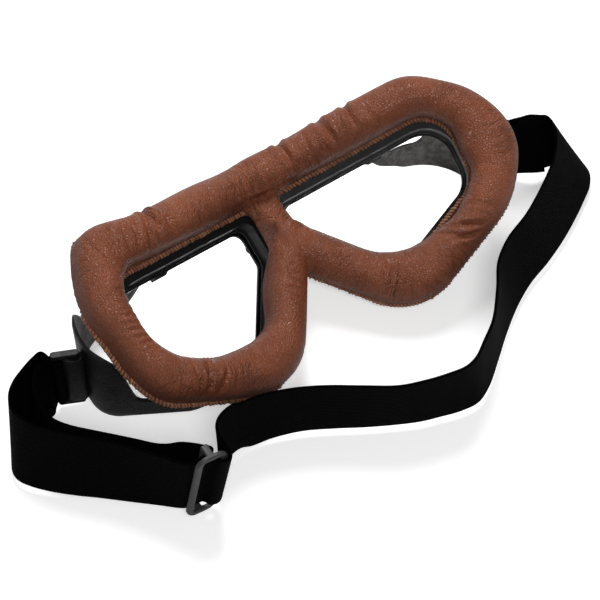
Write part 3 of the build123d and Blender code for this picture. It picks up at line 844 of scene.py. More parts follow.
def leather_loops():
    """The base leather's outer and inner edges."""
    middle = -sized("roll_seat") * math.tan(math.radians(WRAP))
    outer = lobe_outline(sized("leather_margin"), middle, OUTER_CORNER)
    past_brow = smooth_step(outer[:, 1], 1.0, 6.0)
    outer[:, 1] -= BROW_TUCK * past_brow * (1 - smooth_step(outer[:, 0], *BROW_TUCK_ENDS))
    inner = lobe_outline(LEATHER_INSET, LEATHER_NOSE_EDGE, INNER_CORNER, LEATHER_SHELF, NOSE_EASE)
    return outer, inner


def make_base_leather():
    """A flat ring of leather under each lobe, with softly waving edges."""
    seat, thick, count = -sized("roll_seat"), sized("leather"), LEATHER_POINTS
    for name, side in SIDES:
        outer, inner = (resampled(loop, count, True) for loop in leather_loops())
        outer = pushed(outer, side, LEATHER_TUCKS[side])
        inner = np.roll(inner, -np.argmin(np.linalg.norm(inner - outer[0], axis=1)), axis=0)
        phases = np.random.default_rng(settings().seed + side).uniform(0, 6, 4)
        turns = np.linspace(0, 2 * math.pi, count, endpoint=False)
        wave = sum(high * np.sin(times * turns + phase)
                   for (times, high), phase in zip(EDGE_WAVES, phases))
        sheets = []
        for level, puff in ((0.0, LEATHER_PUFF), (-thick, -LEATHER_PUFF)):
            sheet = []
            for share in LEATHER_SHARES:
                edge = abs(share - 0.5) * 2
                lift = puff * (edge < 0.99) - LEATHER_PUFF
                z = seat + level + wave * edge ** 3 + lift
                sheet.append(np.column_stack([outer + (inner - outer) * share, z]))
            sheets.append(sheet)
        rows = sheets[0] + sheets[1][::-1]
        faces = tube_faces(count, len(rows), closed=True, caps=False)
        points = placed(np.stack(rows, axis=1).reshape(-1, 3), side)
        piece = outward(mesh_object(f"{name}_base_leather_skin", points, faces))
        finished(piece, "brown_leather", f"{name}_base_leather")


def stitch_tree():
    """Geometry nodes: a wrapped thread at every pitch along a line, standing on its lift."""
    tree = bpy.data.node_groups.new("seam_stitches", "GeometryNodeTree")

    def socket(name, kind, way="INPUT"):
        return tree.interface.new_socket(name, in_out=way, socket_type=f"NodeSocket{kind}")

    socket("Geometry", "Geometry")
    for name, default in (("Pitch", 0.001), ("Thread radius", 0.0002), ("Stitch reach", 0.0012),
                          ("Stitch depth", 0.0008), ("Slant", 0.4), ("Looseness", 0.15)):
        socket(name, "Float").default_value = default
    socket("Seed", "Int")
    socket("Thread", "Material")
    socket("Geometry", "Geometry", "OUTPUT")
    nodes = Nodes(tree)
    given = nodes.add("NodeGroupInput").outputs

    def direction(name):
        return nodes.add("GeometryNodeInputNamedAttribute", {"Name": name},
                         data_type="FLOAT_VECTOR").outputs["Attribute"]

    def random(low, high):
        return nodes.add("FunctionNodeRandomValue", {2: low, 3: high, "Seed": given["Seed"]},
                         data_type="FLOAT").outputs[1]

    line = nodes.add("GeometryNodeMeshToCurve", {"Mesh": given["Geometry"]})
    spaced = nodes.add("GeometryNodeResampleCurve", {"Curve": line, "Length": given["Pitch"]},
                       mode="LENGTH")
    arc = nodes.add("GeometryNodeCurveArc", {"Resolution": 8, "Radius": 1.0,
                                             "Start Angle": math.radians(-100),
                                             "Sweep Angle": math.radians(200)})
    size = nodes.add("ShaderNodeCombineXYZ", {"X": given["Stitch reach"],
                                              "Y": given["Stitch depth"], "Z": 1.0})
    shaped = nodes.add("GeometryNodeTransform", {"Geometry": arc, "Scale": size})
    stood = nodes.add("GeometryNodeTransform", {"Geometry": shaped,
                                                "Rotation": (math.radians(90), 0, 0)})
    ring = nodes.add("GeometryNodeCurvePrimitiveCircle", {"Resolution": 5,
                                                          "Radius": given["Thread radius"]})
    thread = nodes.add("GeometryNodeCurveToMesh", {"Curve": stood, "Profile Curve": ring,
                                                   "Fill Caps": True})
    axes = nodes.add("FunctionNodeAxesToRotation", {"Primary Axis": direction("lift"),
                                                    "Secondary Axis": direction("away")},
                     primary_axis="Z", secondary_axis="X")
    put = nodes.add("GeometryNodeInstanceOnPoints", {"Points": spaced, "Instance": thread,
                                                     "Rotation": axes})
    loose = nodes.add("ShaderNodeMath", {0: random(-0.35, 0.35), 1: given["Looseness"]},
                      operation="MULTIPLY")
    slant = nodes.add("ShaderNodeMath", {0: given["Slant"], 1: loose}, operation="ADD")
    leaning_by = nodes.add("ShaderNodeCombineXYZ", {"Z": slant})
    leant = nodes.add("GeometryNodeRotateInstances", {"Instances": put, "Rotation": leaning_by})
    grown = nodes.add("GeometryNodeScaleInstances", {"Instances": leant,
                                                     "Scale": random(0.85, 1.2)})
    real = nodes.add("GeometryNodeRealizeInstances", {"Geometry": grown})
    smooth = nodes.add("GeometryNodeSetShadeSmooth", {"Geometry": real})
    coat = nodes.add("GeometryNodeSetMaterial", {"Geometry": smooth, "Material": given["Thread"]})
    nodes.add("NodeGroupOutput", {"Geometry": coat})
    return tree


def stitched(name, lines):
    """A piece with rows of stitches along lines, each of points, lifts and directions away."""
    edges, start = [], 0
    for points, _, _ in lines:
        edges += [(start + k, start + k + 1) for k in range(len(points) - 1)]
        start += len(points)
    points, lifts, aways = (np.vstack(column) for column in zip(*lines))
    mesh = bpy.data.meshes.new(name)
    mesh.from_pydata([tuple(p) for p in points], edges, [])
    for key, values in (("lift", lifts), ("away", aways)):
        attribute = mesh.attributes.new(key, "FLOAT_VECTOR", "POINT")
        attribute.data.foreach_set("vector", values.ravel())
    piece = linked(name, mesh)
    tree = bpy.data.node_groups.get("seam_stitches") or stitch_tree()
    stitches = piece.modifiers.new("stitches", "NODES")
    stitches.node_group = tree
    wanted = {
        "Pitch": sized("stitch_pitch") * MM,
        "Thread radius": sized("thread") * MM / 2,
        "Stitch reach": (sized("stitch_inset") + STITCH_OVERREACH) * MM,
        "Stitch depth": STITCH_DEPTH * MM,
        "Slant": STITCH_SLANT,
        "Looseness": STITCH_LOOSENESS,
        "Seed": settings().seed,
        "Thread": material("seam_thread"),
    }
    for socket in tree.interface.items_tree:
        if socket.in_out == "INPUT" and socket.name in wanted:
            stitches[socket.identifier] = wanted[socket.name]
    return applied(piece)


def edge_row(outline, side, level, inwards):
    """A line just inside the leather's edge, with its lift and its direction off the leather."""
    closed = np.vstack([outline, outline[:1]])
    away = line_frames(closed)[2] * (-1 if inwards else 1)
    flat = np.column_stack([closed - away * sized("stitch_inset"), np.full(len(closed), level)])
    turned = np.column_stack([away, np.zeros(len(away))]) @ LOBE.T * flip(side)
    lift = np.tile(LOBE[:, 2] * flip(side), (len(closed), 1))
    return placed(flat, side), lift, turned


def make_seam_stitches():
    """The thread over the leather's outer edge, open at the bridge, and over its inner edge."""
    level = -sized("roll_seat") - sized("leather") / 2 - 0.1
    for name, side in SIDES:
        outer, inner = leather_loops()
        outer = pushed(outer, side, LEATHER_TUCKS[side])
        outer_row = edge_row(outer[outer[:, 0] > 1.0], side, level, False)
        rows = [tuple(part[:-1] for part in outer_row), edge_row(inner, side, level, True)]
        piece = stitched(f"{name}_seam_stitches", rows)
        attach(piece, "goggles")


# The temple wings

WING_LINE = ((46.075, -5.436), (93.48, -6.04), (95.0, -39.5), (59.0, -60.4))
WING_RADII = (0, 25.0, 12.0, 0)
WING_STEP, WING_ROWS, WING_EASE = 0.7, 14, 7
WING_REACH, WING_HEIGHT, WING_SPLIT = 95.02, 34.0, -24.0
WING_CENTRE = (62.0, -30.0)

# The edges of the brow and cheek arms: share of the reach outwards, and share of the height
BROW_ARM_TOP = (
    (0.4, 1.0), (0.5, 1.0), (0.56, 0.86), (0.7, 0.42), (0.85, 0.42), (0.93, 0.95), (0.95, 1.08),
    (0.975, 1.16),
)
BROW_ARM_LOW = ((0.4, 0.7), (0.53, 0.7), (0.65, 0.27), (0.8, 0.0))
CHEEK_ARM_TOP = (
    (0.5, 0.38), (0.69, 0.38), (0.76, 0.3), (0.87, 0.3), (0.895, 0.45), (0.907, 0.8), (0.92, 0.95),
    (0.945, 1.05), (0.985, 1.16),
)
CHEEK_ARM_LOW = ((0.5, 0.16), (0.63, 0.12), (0.69, 0.0))
SLEEVE_SIDES, SLEEVE_HALF, SLEEVE_BORE = 40, 13.4, 1.35
SLEEVE_SKIN, SLEEVE_TIP, SLEEVE_EASE = 2.55, 2.9, 0.4
BUCKLE, BUCKLE_WAVE = 0.25, 6.5
WING_EDGE, WING_EDGE_REACH = 0.55, 1.2


def wing_height(path, brow_shares, cheek_shares):
    """One edge of the wing along its path, eased a little."""
    reach = path[:, 0] / WING_REACH
    brow, cheek = (np.interp(reach, *np.array(shares).T) for shares in (brow_shares, cheek_shares))
    high = np.where(path[:, 1] > WING_SPLIT, brow, cheek) * WING_HEIGHT
    padded = np.pad(high, WING_EASE // 2, mode="edge")
    return np.convolve(padded, np.ones(WING_EASE) / WING_EASE, mode="valid")


def wing_part(path, side, phase):
    """The leather band on edge along its path, thinner and rounded at its edges."""
    lengths, _, side_out = line_frames(path)
    low_line = wing_height(path, BROW_ARM_LOW, CHEEK_ARM_LOW)
    heights = wing_height(path, BROW_ARM_TOP, CHEEK_ARM_TOP) - low_line
    upwards = np.linspace(0, 1, WING_ROWS)
    points = []
    for p, out, at, low, height in zip(path, side_out, lengths, low_line, heights):
        for sign, shares in ((1, upwards), (-1, upwards[::-1])):
            for v in shares:
                edge = min(v, 1 - v) * height
                half = sized("wing_thickness") / 2 * min(1.0, WING_EDGE + edge / WING_EDGE_REACH)
                buckle = BUCKLE * math.sin(at / BUCKLE_WAVE + phase) * math.sin(v * 3.1)
                points.append((*(p + out * (sign * half + buckle)), low + v * height))
    return framed(np.array(points) * flip(side)), tube_faces(len(path), 2 * WING_ROWS)


def sleeve_part(side):
    """The leather sleeve that the loop's inner bar turns in, drawn out along the loop."""
    turns = np.linspace(0, 2 * math.pi, SLEEVE_SIDES, endpoint=False)
    hinge = np.array(loop_point(side, 0, 0))
    out = unit(np.array(loop_point(side, 1, 0)) - hinge)
    ways = np.column_stack([np.cos(turns), np.sin(turns)])
    skin = SLEEVE_SKIN + SLEEVE_TIP * np.maximum(ways @ out, 0) ** 4
    bore = np.full(SLEEVE_SIDES, SLEEVE_BORE)
    end, eased = SLEEVE_HALF, SLEEVE_HALF - SLEEVE_EASE
    rings = []
    for radius, z in ((bore, -end), (skin - SLEEVE_EASE / 2, -end), (skin, -eased), (skin, eased),
                      (skin - SLEEVE_EASE / 2, end), (bore, end)):
        level = np.full(SLEEVE_SIDES, STRAP_MIDDLE + z)
        rings.append(np.column_stack([hinge + ways * radius[:, None], level]))
    faces = tube_faces(len(rings), SLEEVE_SIDES, closed=True, caps=False)
    return framed(np.vstack(rings)), faces


def make_wings():
    """The wings with their sleeves; their inner faces get a material of their own, painted light
    grey as sheen.
    """
    path = rounded(WING_LINE, WING_RADII, WING_STEP, False)
    for name, side in SIDES:
        phase = np.random.default_rng(settings().seed + 20 + side).uniform(0, 6)
        parts = [wing_part(path, side, phase), sleeve_part(side)]
        piece = outward(joined(f"{name}_wing_leather", parts))
        finished(piece, "black_leather", f"{name}_temple_wing")
        # The inner faces take the grey material: painted sheen on the black leather
        piece.data.materials.append(material("wing_lining"))
        middle = Vector(framed([(side * WING_CENTRE[0], WING_CENTRE[1], 0)])[0])
        for face in piece.data.polygons[:2 * WING_ROWS * (len(path) - 1)]:
            inwards = middle - face.center
            inwards.z = 0
            if abs(face.normal.z) < 0.6 and face.normal.dot(inwards.normalized()) > 0.25:
                face.material_index = 1


# The bridge

TAB_MIDDLE, TAB_RADIUS = (-1.9, -21.5), 6.6
TAB_TOP, TAB_THICKNESS = -17.2, 1.4
TAB_STRAIGHT, TAB_CURVED, TAB_ROWS = 7, 14, 13
TAB_ROUNDING, TAB_EASE, TAB_FOLD, TAB_FOLD_REACH = 0.9, 0.4, 0.4, 2.2


def tab_point(out, v, upper):
    """A point of the tab's upper or lower skin, out from its fold and across it."""
    plane = TAB_TOP * math.tan(math.radians(WRAP))
    past = max(0.0, abs(out) + plane - TAB_MIDDLE[0])
    half = math.sqrt(max(TAB_RADIUS ** 2 - past ** 2, 0.02))
    near = min(1.0, (1 - abs(v)) * half / TAB_ROUNDING, (TAB_RADIUS - past) / TAB_ROUNDING)
    ease = TAB_EASE * (1 - max(near, 0.0)) ** 2
    fold = TAB_FOLD * math.exp(-(out / TAB_FOLD_REACH) ** 2)
    level = TAB_TOP - (ease if upper else TAB_THICKNESS - ease - fold)
    place = LOBE @ np.array([abs(out) + plane, TAB_MIDDLE[1] + v * half, level])
    place[0] = max(place[0], 0.0) if out else 0.0
    return place * flip(1 if out >= 0 else -1) + LIFTED


def make_bridge_leather():
    """The tab over the rims' nose edges, with round ends and a soft fold in the middle."""
    straight = TAB_MIDDLE[0] - TAB_TOP * math.tan(math.radians(WRAP))
    curved = straight + TAB_RADIUS * np.sin(np.linspace(0, math.pi / 2, TAB_CURVED))[1:]
    outs = np.r_[np.linspace(0, straight, TAB_STRAIGHT), curved]
    outs = np.r_[-outs[:0:-1], outs]
    across = np.linspace(-1, 1, TAB_ROWS)
    points = [tab_point(out, v, upper) for upper in (True, False) for out in outs for v in across]
    count, rows = len(outs), TAB_ROWS
    faces = []
    for c in range(count - 1):
        for r in range(rows - 1):
            a = c * rows + r
            face = (a, a + 1, a + rows + 1, a + rows)
            faces += [face, tuple(i + count * rows for i in face[::-1])]
    rim = [c * rows for c in range(count)]
    rim += [(count - 1) * rows + r for r in range(1, rows)]
    rim += [c * rows + rows - 1 for c in range(count - 2, -1, -1)]
    rim += [r for r in range(rows - 2, 0, -1)]
    for a, b in zip(rim, rim[1:] + rim[:1]):
        faces.append((a, b, b + count * rows, a + count * rows))
    piece = outward(mesh_object("bridge_tab", framed(points), faces))
    finished(piece, "black_leather", "bridge_leather")


# The strap

STRAP_WIDTH = 28.0
STRAP_MIDDLE = 18.7
INNER_THICKNESS = 1.0
LOOP_TURN, LOOP_REACH = 25.0, 8.0
LOOP_BAR, BAR_STATIONS = 1.55, 9
RUN_MAP_START = 300.0
SLIDER_ALONG = np.array(JOINTS["slider_slide"]["axis"], float)[:2]
SLIDER_MIDDLE = np.array([-84.61, -92.70])
SLIDER_SKEW = 10.0
EDGE_SHARES = np.r_[0.0, 0.012, 0.03, np.linspace(0.06, 0.94, 20), 0.97, 0.988, 1.0]
BACK_MAP_START = 60
END_EASE = 0.06

# Stations of the strap: its low edge's x and y, its top edge's x and y, its low edge's height
OUTER_LAYER = (
    (-112.0, -28.0, -110.5, -21.0, 4.2), (-118.5, -31.5, -115.5, -22.1, 3.6),
    (-125.5, -34.5, -120.6, -24.2, 3.1), (-131.0, -37.5, -124.4, -27.7, 2.8),
    (-134.4, -41.5, -126.3, -32.0, 2.6), (-135.0, -46.0, -126.4, -36.4, 2.5),
    (-132.6, -51.0, -124.2, -42.6, 2.5), (-127.6, -57.2, -120.0, -49.0, 2.5),
    (-121.2, -63.6, -114.8, -55.6, 2.5), (-114.8, -69.4, -109.0, -61.8, 2.7),
    (-106.5, -77.3, -102.4, -70.0, 3.0), (-100.4, -83.2, -97.6, -77.2, 3.4),
    (-96.3, -87.3, -94.2, -82.6, 3.8), (-93.6, -90.2, -91.6, -87.2, 4.3),
)
INNER_LAYER = (
    (-110.2, -30.6, -109.4, -24.8, 4.3), (-114.8, -31.6, -112.4, -26.2, 4.0),
    (-119.4, -33.6, -115.2, -29.6, 3.7), (-123.6, -38.2, -117.2, -34.4, 3.3),
    (-125.4, -44.6, -118.0, -40.4, 3.0), (-124.4, -51.0, -117.2, -46.2, 2.8),
    (-120.4, -57.4, -114.2, -51.6, 2.8), (-114.5, -63.8, -108.4, -58.5, 2.8),
    (-108.3, -70.0, -102.6, -65.3, 3.0), (-103.0, -75.6, -97.8, -71.2, 3.4),
    (-98.0, -80.8, -93.6, -76.6, 3.9), (-94.4, -83.2, -90.4, -79.6, 4.3),
    (-90.6, -84.4, -86.5, -81.8, 4.7),
)
LONG_RUN = (
    (-57.0, -83.2, -59.4, -79.4, 2.5), (-48.6, -84.9, -51.5, -80.8, 2.5),
    (-37.6, -88.9, -40.5, -85.2, 2.5), (-27.4, -94.7, -30.0, -91.2, 2.5),
    (-17.5, -100.9, -19.0, -99.2, 2.5), (-7.7, -106.5, -8.4, -106.6, 2.5),
    (1.4, -111.1, 1.6, -110.6, 2.5), (9.0, -113.8, 10.2, -113.0, 2.5),
    (16.5, -116.2, 17.4, -114.2, 2.5), (24.5, -117.2, 23.6, -112.8, 2.5),
    (32.7, -114.0, 30.6, -108.8, 2.5), (42.1, -107.7, 39.4, -103.4, 2.5),
    (53.6, -99.6, 50.3, -92.9, 2.5), (65.9, -92.0, 59.7, -82.8, 2.6),
    (77.9, -86.3, 70.8, -75.8, 2.6), (91.0, -82.2, 85.3, -70.4, 2.6),
    (104.0, -77.2, 98.2, -63.8, 2.6), (115.0, -72.0, 108.2, -58.0, 2.7),
    (124.0, -67.2, 115.6, -53.0, 2.8), (132.6, -62.0, 121.6, -47.6, 3.0),
    (137.4, -56.2, 125.2, -43.0, 3.4), (137.4, -50.4, 126.4, -39.0, 3.8),
    (133.4, -46.8, 125.4, -36.6, 4.2), (127.6, -45.2, 122.4, -35.6, 4.5),
)

# Stations at the slider: its low edge along and across the slider, its top edge along and across
OUTER_IN_SLIDER = ((-7.0, 0.55, -4.4, 1.6), (-4.6, 0.1, -0.4, 0.35), (-2.5, 0.0, 2.5, 0.0))
INNER_ON_SLIDER = (
    (-3.0, 6.9, 1.0, 8.2), (-0.4, 4.8, 3.6, 5.6), (0.8, 3.2, 5.9, 3.2), (0.6, 1.9, 5.4, 1.9),
    (-1.0, 1.45, 3.4, 1.45), (-4.0, 1.4, 0.6, 1.4), (-7.4, 1.45, -3.0, 1.45),
)
RUN_ON_SLIDER = (
    (-2.5, 0.0, 2.5, 0.0), (-0.9, -0.3, 4.1, -0.3), (0.2, -1.6, 5.2, -1.6), (0.9, -3.0, 5.9, -3.2),
    (3.0, -3.8, 8.0, -4.0), (4.9, -3.2, 9.8, -3.4), (5.6, -1.7, 10.5, -1.6), (6.7, 0.6, 10.8, 1.3),
    (8.6, 3.0, 10.7, 5.2), (11.2, 5.6, 11.4, 8.8), (14.4, 8.6, 13.6, 11.8),
    (18.3, 10.8, 17.2, 13.7), (22.6, 11.4, 21.6, 14.4),
)

# Where each layer is cut in two pieces
OUTER_CUT, INNER_CUT, RUN_CUT = (-111.9, -65.6), (-105.4, -67.7), (-39.0, -87.0)


def loop_point(side, out, across):
    """A plan point out from a loop's hinge, and across, as in the model."""
    turn = math.radians(LOOP_TURN)
    x = HINGE[0] + out * math.cos(turn) + across * math.sin(turn)
    y_step = out * math.sin(turn) - across * math.cos(turn)
    return side * x, HINGE[1] - side * y_step


def at_slider(u, v):
    """A plan point from places along and across the slider."""
    return SLIDER_MIDDLE + u * SLIDER_ALONG + v * np.array([-SLIDER_ALONG[1], SLIDER_ALONG[0]])


def risen(station):
    """Both edges of a station with their heights, so that the strap keeps its width."""
    x_low, y_low, x_top, y_top, z_low = station
    lean = math.hypot(x_top - x_low, y_top - y_low)
    return x_low, y_low, z_low, x_top, y_top, z_low + math.sqrt(STRAP_WIDTH ** 2 - lean ** 2)


def on_slider(stations):
    """Stations given along and across the slider, standing at its height."""
    rows = []
    for u_low, v_low, u_top, v_top in stations:
        low, top = at_slider(u_low, v_low), at_slider(u_top, v_top)
        rise = math.sqrt(STRAP_WIDTH ** 2 - np.sum((top - low) ** 2)) / 2
        level = STRAP_MIDDLE - 0.6 * smooth_step(v_low, 3.0, 12.0)
        rows.append((*low, level - rise, *top, level + rise))
    return rows


def at_loop(side, *places):
    """Stations out from a loop and across, each with half of its lean towards the brow."""
    rows = []
    for out, across, lean in places:
        x, y = loop_point(side, out, across)
        rise = math.sqrt((STRAP_WIDTH / 2) ** 2 - lean ** 2)
        rows.append((x, y - lean, STRAP_MIDDLE - rise, x, y + lean, STRAP_MIDDLE + rise))
    return rows


def around_bar(side, start_turn, sweep, radius):
    """Upright stations round a loop's outer bar."""
    turns = np.radians(start_turn + sweep * np.linspace(0, 1, BAR_STATIONS))
    return at_loop(side, *((LOOP_REACH + radius * math.cos(t), radius * math.sin(t), 0.0)
                           for t in turns))


def ribbon(low, top, thickness, map_start):
    """Sections of a flat band between two edge lines, each with its map in mm."""
    middle = (low + top) / 2
    along = unit(np.gradient(middle, axis=0))
    face = unit(np.cross(along, unit(top - low)))
    lengths = steps_along(middle) + map_start
    sections = []
    for sign, shares, start in ((1, EDGE_SHARES, 0), (-1, EDGE_SHARES[::-1], BACK_MAP_START)):
        for v in shares:
            edge = min(v, 1 - v) * STRAP_WIDTH
            round_edge = math.sqrt(max(0.0, 1 - (1 - min(edge / 0.6, 1)) ** 2))
            half = thickness / 2 * min(1.0, round_edge * 0.8 + 0.2)
            across = np.full(len(low), v * STRAP_WIDTH + start)
            skin = low + (top - low) * v + face * sign * half
            sections.append(np.column_stack([skin, lengths, across]))
    return np.stack(sections, axis=1)


def ribbon_piece(name, sections):
    """A stretch of a ribbon as a closed piece with crisp ends."""
    near_start = sections[:1] * (1 - END_EASE) + sections[1:2] * END_EASE
    near_end = sections[-1:] * (1 - END_EASE) + sections[-2:-1] * END_EASE
    rows = np.concatenate([sections[:1], near_start, sections[1:-1], near_end, sections[-1:]])
    count, around = rows.shape[:2]
    flat = rows.reshape(-1, 5)
    return outward(mesh_object(name, framed(flat[:, :3]), tube_faces(count, around), flat[:, 3:]))


def strap_layer(stations, thickness, cut_place, halves, map_start=0.0):
    """A layer through its stations, cut in two pieces.

    Each half is its name, the nodes it replaces, its body, and where its bend starts and ends; its
    body and its bend's ends are not used.
    """
    curve = spline(stations)
    low, top = curve[:, :3], curve[:, 3:]
    sections = ribbon(low, top, thickness, map_start)
    far = np.linalg.norm((low + top)[:, :2] / 2 - np.array(cut_place), axis=1)
    cut = int(np.argmin(far))
    for half, part in zip(halves, (sections[:cut + 1], sections[cut:])):
        name, replaced, body, start, end = half
        piece = ribbon_piece(name, part)
        coated(piece, "elastic_webbing")
        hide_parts(*replaced)
        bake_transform(piece)


def make_outer_layer(thick, radius):
    """From the left loop's bar round the bend and along the front into the slider."""
    rows = around_bar(-1, 180, -90, radius) + at_loop(-1, (11.5, -radius, 1.6))
    rows += [risen(s) for s in OUTER_LAYER] + on_slider(OUTER_IN_SLIDER)
    strap_layer(rows, thick, OUTER_CUT, (
        ("strap_outer_band", ("strap_bight", "strap_outer_layer"), "left_loop",
         loop_point(-1, 11, 0), (-124.0, -33.0)),
        ("strap_outer_front_band", ("strap_outer_layer",), "slider",
         at_slider(-8.0, 0.0), (-108.0, -69.0)),
    ))


def make_inner_layer(radius):
    """From the left loop back inside the outer layer and round the slider's back bar."""
    rows = around_bar(-1, 180, 90, radius) + at_loop(-1, (11.0, radius, 1.4))
    rows += [risen(s) for s in INNER_LAYER] + on_slider(INNER_ON_SLIDER)
    strap_layer(rows, INNER_THICKNESS, INNER_CUT, (
        ("strap_inner_band", ("strap_inner_layer",), "left_loop",
         loop_point(-1, 11, 0), (-120.0, -36.0)),
        ("strap_inner_end_band", ("strap_tail",), "slider",
         at_slider(-4.0, 6.0), (-102.0, -71.0)),
    ))


def make_long_run(thick, radius):
    """From the slider over its right bar and round the front to the right loop, sewn back there."""
    gap = thick / 2 + 0.05
    rows = on_slider(RUN_ON_SLIDER) + [risen(s) for s in LONG_RUN]
    rows += at_loop(1, (21.5, gap, 4.7), (17.5, gap + 0.1, 3.6), (13.0, radius - 0.5, 1.6))
    rows += around_bar(1, 80, 200, radius)
    rows += at_loop(1, (13.0, -radius + 0.5, 1.6), (17.5, -gap - 0.1, 3.6), (21.5, -gap, 4.7),
                    (25.5, -gap, 5.0))
    strap_layer(rows, thick, RUN_CUT, (
        ("strap_slider_band", ("strap_long_run",), "slider",
         at_slider(11.0, 3.0), (-52.0, -83.0)),
        ("strap_run_band", ("strap_sewn_end", "strap_long_run"), "right_loop",
         loop_point(1, 24, 0), (118.0, -66.0)),
    ), RUN_MAP_START)


def make_strap():
    thick = sized("strap_thickness")
    radius = LOOP_BAR + thick / 2
    make_outer_layer(thick, radius)
    make_inner_layer(radius)
    make_long_run(thick, radius)


# The slider, in its own upright plane: x along the strap, y through it and z up

SLIDER_LEFT, SLIDER_RIGHT, SLIDER_TALL = -4.6, 5.6, 16.65
SLIDER_FRONT, SLIDER_BACK = -1.75, 2.9
SLIDER_CORNER, SLIDER_STEP, SLIDER_BAR_SIDES = 3.0, 0.6, 16
FRAME_THICKNESS, BAR_WIDTH, BAR_THICKNESS, ARM_THICKNESS = 1.9, 2.9, 1.75, 1.7
SIDE_WIDER, BAR_OVERRUN, ARM_OVERRUN, SLIDER_VOXEL = 0.8, 0.6, 0.5, 0.25


def bar_part(path, width, thick, through=(0, 1, 0), closed=False):
    """A rounded flat bar along a path, with its thickness through the slider or up."""
    path = np.asarray(path, float)
    if closed:
        along = unit(np.roll(path, -1, axis=0) - np.roll(path, 1, axis=0))
    else:
        along = unit(np.gradient(path, axis=0))
    through = np.tile(np.array(through, float), (len(path), 1))
    side_way = unit(np.cross(along, through))
    turns = np.linspace(0, 2 * math.pi, SLIDER_BAR_SIDES, endpoint=False)
    flat, deep = (np.sign(f) * np.abs(f) ** 0.5 for f in (np.cos(turns), np.sin(turns)))
    width = np.broadcast_to(np.asarray(width, float), len(path))
    rings = path[:, None] + side_way[:, None] * (flat * width[:, None] / 2)[:, :, None]
    rings = rings + through[:, None] * (deep * thick / 2)[None, :, None]
    return rings.reshape(-1, 3), tube_faces(len(path), SLIDER_BAR_SIDES, closed=closed)


def make_slider():
    """A rounded ladder: a frame in front of the strap and a bar behind it, leaning with it."""
    tall = SLIDER_TALL
    corners = [(SLIDER_LEFT, -tall), (SLIDER_RIGHT, -tall), (SLIDER_RIGHT, tall),
               (SLIDER_LEFT, tall)]
    ring = rounded(corners, [SLIDER_CORNER] * 4, SLIDER_STEP, True)
    upright = 1 - smooth_step(np.abs(ring[:, 1]) / tall, 0.8, 0.98)
    width = FRAME_THICKNESS + SIDE_WIDER * upright
    frame_path = np.column_stack([ring[:, 0], np.full(len(ring), SLIDER_FRONT), ring[:, 1]])
    reach = tall + BAR_OVERRUN
    bar = [(0.0, SLIDER_BACK, z) for z in np.linspace(-reach, reach, 40)]
    parts = [bar_part(frame_path, width, FRAME_THICKNESS, closed=True),
             bar_part(bar, BAR_WIDTH, BAR_THICKNESS)]
    for end in (-1, 1):
        depths = np.linspace(SLIDER_FRONT, SLIDER_BACK + ARM_OVERRUN, 8)
        arm = [(0.0, y, end * tall) for y in depths]
        parts.append(bar_part(arm, BAR_WIDTH, ARM_THICKNESS, through=(0, 0, 1)))
    turn = math.radians(SLIDER_SKEW)
    set_parts = []
    for points, faces in parts:
        u = points[:, 0] * math.cos(turn) + points[:, 2] * math.sin(turn)
        z = -points[:, 0] * math.sin(turn) + points[:, 2] * math.cos(turn)
        plan = np.array([at_slider(a, b) for a, b in zip(u, points[:, 1])])
        set_parts.append((framed(np.column_stack([plan, z + STRAP_MIDDLE])), faces))
    piece = remeshed(outward(joined("slider_ladder", set_parts)), SLIDER_VOXEL, 0.5, 3)
    finished(piece, "slider_plastic", "strap_slider", body="slider")


# Rims, lenses and hardware keep the model's shapes

LOBE_HARDWARE = {"eyecup": "black_rubber", "lens_gasket": "black_rubber", "lens": "clear_lens",
                 "lens_rim": "black_frame", "wing_rivets": "black_frame",
                 "strap_loop": "black_wire"}
BRIDGE_HARDWARE = {"bridge_plate": "steel_plate", "bridge_rivets": "black_frame"}


def finish_hardware():
    nodes = {f"{name}_{node}": finish for name, _ in SIDES
             for node, finish in LOBE_HARDWARE.items()}
    for node, finish in {**nodes, **BRIDGE_HARDWARE}.items():
        coated(frame["nodes"][node], finish)


# The stage, in metres

FLOOR_HALF = 3.0
PAPER, PAPER_GLOW = 0.9, 0.46
ROOM_LIGHT = 0.15
# Name, place, diameter and power of each lamp
LAMPS = (("overhead", (0.25, 0.5, 0.85), 0.42, 7.4), ("front", (-0.26, -0.5, 0.8), 0.35, 3.5))
CAMERA_PLACE = (-0.21365, -0.25627, 0.48506)
CAMERA_TURN = (35.544, -1.637, -35.937)
CAMERA_LENS, CAMERA_SENSOR = 89.13, 36.0


def floor_material():
    """White paper that takes shadows; it glows a little to the camera and fully through lenses."""
    made = bpy.data.materials.new("paper_floor")
    made.use_nodes = True
    made.node_tree.nodes.clear()
    nodes = Nodes(made.node_tree)
    rays = nodes.add("ShaderNodeLightPath").outputs
    seen = nodes.add("ShaderNodeMath", {0: rays["Is Camera Ray"], 1: PAPER_GLOW},
                     operation="MULTIPLY")
    strength = nodes.add("ShaderNodeMath", {0: seen, 1: rays["Is Transmission Ray"]},
                         operation="MAXIMUM")
    glow = nodes.add("ShaderNodeEmission", {"Color": (1, 1, 1), "Strength": strength})
    paper = nodes.add("ShaderNodeBsdfDiffuse", {"Color": (PAPER, PAPER, PAPER)})
    both = nodes.add("ShaderNodeAddShader", {0: paper, 1: glow})
    nodes.add("ShaderNodeOutputMaterial", {"Surface": both})
    return made


def area_light(name, place, size, power):
    """A round soft light that points at the goggles."""
    data = bpy.data.lights.new(name, "AREA")
    data.shape = "DISK"
    data.size = size
    data.energy = power
    lamp = linked(name, data)
    lamp.location = place
    lamp.rotation_euler = (-Vector(place)).to_track_quat("-Z", "Y").to_euler()


